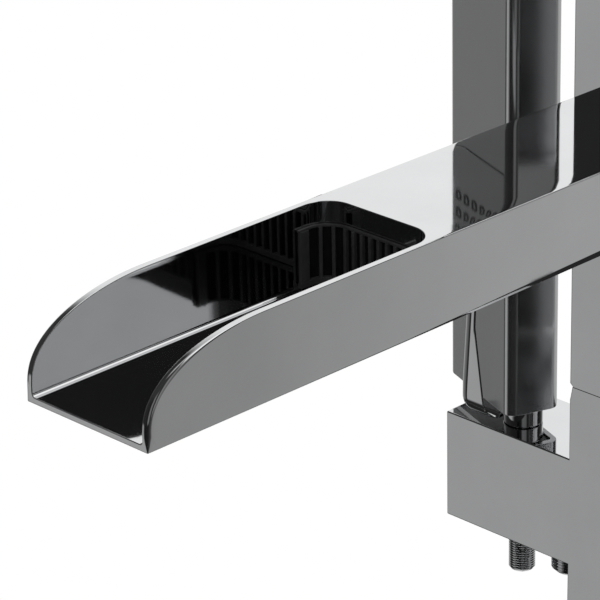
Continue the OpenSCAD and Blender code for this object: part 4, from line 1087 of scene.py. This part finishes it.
# %% The lip's sections
# Heights above the arm and places across it, all in mm, since the sides lean in straight lines
RING_Z = (0.15, 0.6, 1.3, 2.2, 3.2, 4.2, 5.2, 6.1, 7.0, 8.5, 12, 18, 24, 30, 34, 38, 41, 44, 45.5, 46.7,
          47.5, 47.9)
FLAT_X, FLAT_LEAN, RIGHT_X, RIGHT_LEAN, LEAN_Z = -72.4, 0.07, -65.7, 0.144, 6
FLARE_Z, FLARE_LEFT, FLARE_RIGHT, EDGE_W, FLAT_W, TIP_Z, TIP_H = 7, 0.9, 1.2, 4.8, 0.6, 44, 4
bm = bmesh.new()
rings = []
for z in RING_Z:
    flare = max(0.0, 1 - z / FLARE_Z) ** 2
    flat = FLAT_X + FLAT_LEAN * (z - LEAN_Z)
    left = max(rest_lo.x / mm + FLARE_LEFT * flare, flat - EDGE_W)
    right = max(RIGHT_X - RIGHT_LEAN * (z - LEAN_Z), flat + FLAT_W) + FLARE_RIGHT * flare
    if z > TIP_Z:
        near = math.sqrt(max(0.01, 1 - ((z - TIP_Z) / TIP_H) ** 2))
        c = (left + right) / 2
        left, flat, right = (c + (q - c) * near for q in (left, flat, right))
    rings.append(rest_ring(bm, z * mm, left * mm, flat * mm, right * mm))
for a, b in zip(rings, rings[1:]):
    bmesh.ops.bridge_loops(bm, edges=a + b)
bmesh.ops.contextual_create(bm, geom=rings[0])
bmesh.ops.contextual_create(bm, geom=rings[-1])
made_before = set(bm.verts)
block(bm, (rest_lo.x + 0.2 * mm, rest_y + 6.2 * mm, arm_top), (rest_hi.x, rest_hi.y, arm_top + 2 * mm))
slab = {e for v in bm.verts if v not in made_before for e in v.link_edges}
round_edges(bm, [e for e in slab if not all(at(v.co.z, arm_top) for v in e.verts)], 0.5 * mm, 3)
lip = piece("handset_lip", bm, chrome, "stand", "chrome", "handset_rest", sharp=50)
lip.visible_glossy = False

# %% [markdown]
# ## The handset
# The handset is a flat rectangular wand. It is modelled upright at the middle of its
# own section and then turned and set on the dock, as in the photograph; modelling it in
# its turned place would make every edge hard to pick. The upper part of its wide face is
# a shallow recess for the spray plate, which is inset and pushed in from the face.

# %% The handset's place and shell
hand_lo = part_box("handset_shell")[0].z
hand_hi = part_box("handset_end")[1].z
HAND_W, HAND_R, NECK_OFF, END_T, PLATE_Z = 44.6 * mm, 3.7 * mm, 14.1 * mm, 3 * mm, 158 * mm
FACE_W = HAND_W - 2 * HAND_R
on_dock = (Matrix.Translation((dock.x, dock.y, hand_lo)) @ Matrix.Rotation(-HAND_TURN, 4, "Z")
           @ Matrix.Translation((-NECK_OFF, 0, 0)))


def hand_piece(name, bm, look_of, slot_name, *nodes, **more):
    """A piece of the handset, set on the dock."""
    bmesh.ops.transform(bm, matrix=on_dock, verts=bm.verts)
    return piece(name, bm, look_of, "handset", slot_name, *nodes, **more)


bm = bmesh.new()
top_z = hand_hi - hand_lo - END_T
block(bm, (-HAND_W / 2, -HAND_T / 2, 0), (HAND_W / 2, HAND_T / 2, top_z))
round_edges(bm, upright_edges(bm), HAND_R, 10)
ends = [e for e in bm.edges if at(middle(e).z, 0) or at(middle(e).z, top_z)]
round_edges(bm, [e for e in ends if not along(e, 2)], 0.4 * mm, 2)
bm.normal_update()
under = min((f for f in bm.faces if f.normal.z < -0.9), key=lambda f: f.calc_center_median().z)
bmesh.ops.inset_region(bm, faces=[under], thickness=1.7 * mm, use_even_offset=True)
push(bm, [under], (0, 0, 26 * mm))
cut_across(bm, (0, 0, PLATE_Z), (0, 0, 1))
bm.normal_update()
window = [f for f in bm.faces if f.normal.y < -0.999 and f.calc_center_median().z > PLATE_Z
          and at(f.calc_center_median().y, -HAND_T / 2)]
bmesh.ops.inset_region(bm, faces=window, thickness=0.02 * mm, use_even_offset=True)
push(bm, window, (0, 2.5 * mm, 0))
hand_piece("wand_shell", bm, chrome_wand, "chrome", "handset_shell")

# %% [markdown]
# ## The handset's top, block and spray plate
# A lid closes the wand above, a grey block carries the neck inside its lower end, and the
# spray plate fills the recess. They could be drawn as lines on one box, but in chrome a
# seam is only believed when light goes into it, so each is a part with a real gap.

# %% The wand's top and its lower block
bm = bmesh.new()
block(bm, (-HAND_W / 2, -HAND_T / 2, top_z), (HAND_W / 2, HAND_T / 2, top_z + END_T))
round_edges(bm, upright_edges(bm), HAND_R, 10)
round_edges(bm, level_edges(bm, top_z + END_T), 1.3 * mm, 5)
round_edges(bm, level_edges(bm, top_z), 0.3 * mm, 2)
hand_piece("wand_top", bm, chrome, "chrome", "handset_end")

bm = bmesh.new()
INSIDE = 4.7 * mm
in_w, in_t = HAND_W - INSIDE, HAND_T - INSIDE
block(bm, (-in_w / 2, -in_t / 2, 0.8 * mm), (in_w / 2, in_t / 2, 24 * mm))
round_edges(bm, upright_edges(bm), 1.4 * mm, 3)
centre = Vector((NECK_OFF, 0, 0.8 * mm))
rim, = holes_in_face(bm, flat_face(bm, (0, 0, -1), centre), [(centre, 5.3 * mm)])
sink(bm, rim, (0, 0, 14 * mm))
hand_piece("wand_block", bm, grey_plastic, "grey", "handset_base")

# %% The spray plate
# The seam at the plate's lower end is the one that the photograph shows, so it is wider
GAP, LOWER_GAP_SHARE, PLATE_T = 0.14 * mm, 4.6, 2.3 * mm
bm = bmesh.new()
block(bm, (-FACE_W / 2 + GAP, -HAND_T / 2, PLATE_Z + LOWER_GAP_SHARE * GAP),
      (FACE_W / 2 - GAP, -HAND_T / 2 + PLATE_T, top_z - GAP))
front_edges = [e for e in bm.edges if all(at(v.co.y, -HAND_T / 2) for v in e.verts)]
round_edges(bm, front_edges, 0.18 * mm, 3)
hand_piece("spray_face", bm, chrome, "plate", "spray_plate")

# %% [markdown]
# ## The nozzles
# Rubber nozzles stand in rows on the spray plate, each with one large round corner and
# three small ones. An array modifier could repeat one nozzle, but a loop places them just
# as well and leaves one finished mesh. Each starts as a block whose corners are bevelled
# and whose front is inset twice, the second time inwards, for the hollow tip.

# %% The nozzles
NOZZLE_COLS, PITCH_X, PITCH_Z, FIRST = 6, 5.9 * mm, 6.6 * mm, 19 * mm
HALF_W, HALF_H, PROUD, BIG_CORNER, SMALL_CORNER = 1.6 * mm, 1.8 * mm, 0.3 * mm, 2 * mm, 0.4 * mm
rows = math.floor((top_z - PLATE_Z - FIRST - 9 * mm) / PITCH_Z) + 1
bm = bmesh.new()
for i in range(NOZZLE_COLS):
    for k in range(rows):
        x, z = (i - (NOZZLE_COLS - 1) / 2) * PITCH_X, PLATE_Z + FIRST + k * PITCH_Z
        verts = block(bm, (x - HALF_W, -HAND_T / 2 - PROUD, z - HALF_H),
                      (x + HALF_W, -HAND_T / 2 + 1 * mm, z + HALF_H))
        corners = [e for e in {e for v in verts for e in v.link_edges} if along(e, 1)]
        lower_right = [e for e in corners if middle(e).z < z and middle(e).x > x]
        big = round_edges(bm, lower_right, BIG_CORNER, 6)["verts"]
        small = round_edges(bm, [e for e in corners if e.is_valid], SMALL_CORNER, 3)["verts"]
        fronts = {f for v in big + small if v.is_valid for f in v.link_faces if len(f.verts) > 8}
        face = min(fronts, key=lambda f: f.calc_center_median().y)
        bmesh.ops.inset_region(bm, faces=[face], thickness=0.4 * mm)
        bmesh.ops.inset_region(bm, faces=[face], thickness=0.15 * mm, depth=-0.4 * mm)
hand_piece("nozzle_field", bm, nozzle_rubber, "nozzle", "spray_nozzles", sharp=40)
print("nozzles:", NOZZLE_COLS, "x", rows)

# %% [markdown]
# ## The neck
# The handset's lower end is a round neck with the hose's thread. It is turned, like the
# hose outlet, with the same thread function and finer sizes.

# %% The neck, with its thread for the hose
neck_lo, neck_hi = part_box("handset_neck")
neck_r, crest = 5 * mm, 4.7 * mm
root = crest - 0.4 * mm
outline = [(3 * mm, neck_hi.z), (3 * mm, neck_lo.z), (crest - 0.7 * mm, neck_lo.z),
           (crest - 0.35 * mm, neck_lo.z + 0.6 * mm)]
outline += thread(neck_lo.z + 0.6 * mm, neck_lo.z + 13 * mm, 0.9 * mm, (0.3 * mm, 0.45 * mm, 0.75 * mm),
                  crest, root)
outline += [(root, neck_lo.z + 14 * mm), (neck_r, neck_lo.z + 14.5 * mm), (neck_r, neck_hi.z)]
bm = bmesh.new()
turned(bm, outline, Matrix.Translation((dock.x, dock.y, 0)), 48)
piece("wand_neck", bm, chrome, "handset", "chrome", "handset_neck")

# %% [markdown]
# ## The base
# A square cover hides the floor plate and its anchors. An open box with a solidify
# modifier would do. Here the underside of a closed box is inset by the wall's thickness
# and pushed up, which gives the same wall at once. The rubber seal round the column is
# the CAD node itself.

# %% The base cover
cov_lo, cov_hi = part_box("base_cover")
COVER_WALL = 2 * mm
bm = bmesh.new()
block(bm, cov_lo, cov_hi)
round_edges(bm, upright_edges(bm), 2.5 * mm, 6)
round_edges(bm, level_edges(bm, cov_hi.z), 2.0 * mm, 6)
bm.normal_update()
under = [f for f in bm.faces if f.normal.z < -0.9]
bmesh.ops.inset_region(bm, faces=under, thickness=COVER_WALL, use_even_offset=True)
push(bm, under, (0, 0, cov_hi.z - cov_lo.z - COVER_WALL))
piece("floor_cover", bm, chrome, "stand", "chrome", "base_cover")

# %% [markdown]
# ## The end

scene.view_settings.view_transform = "Standard"
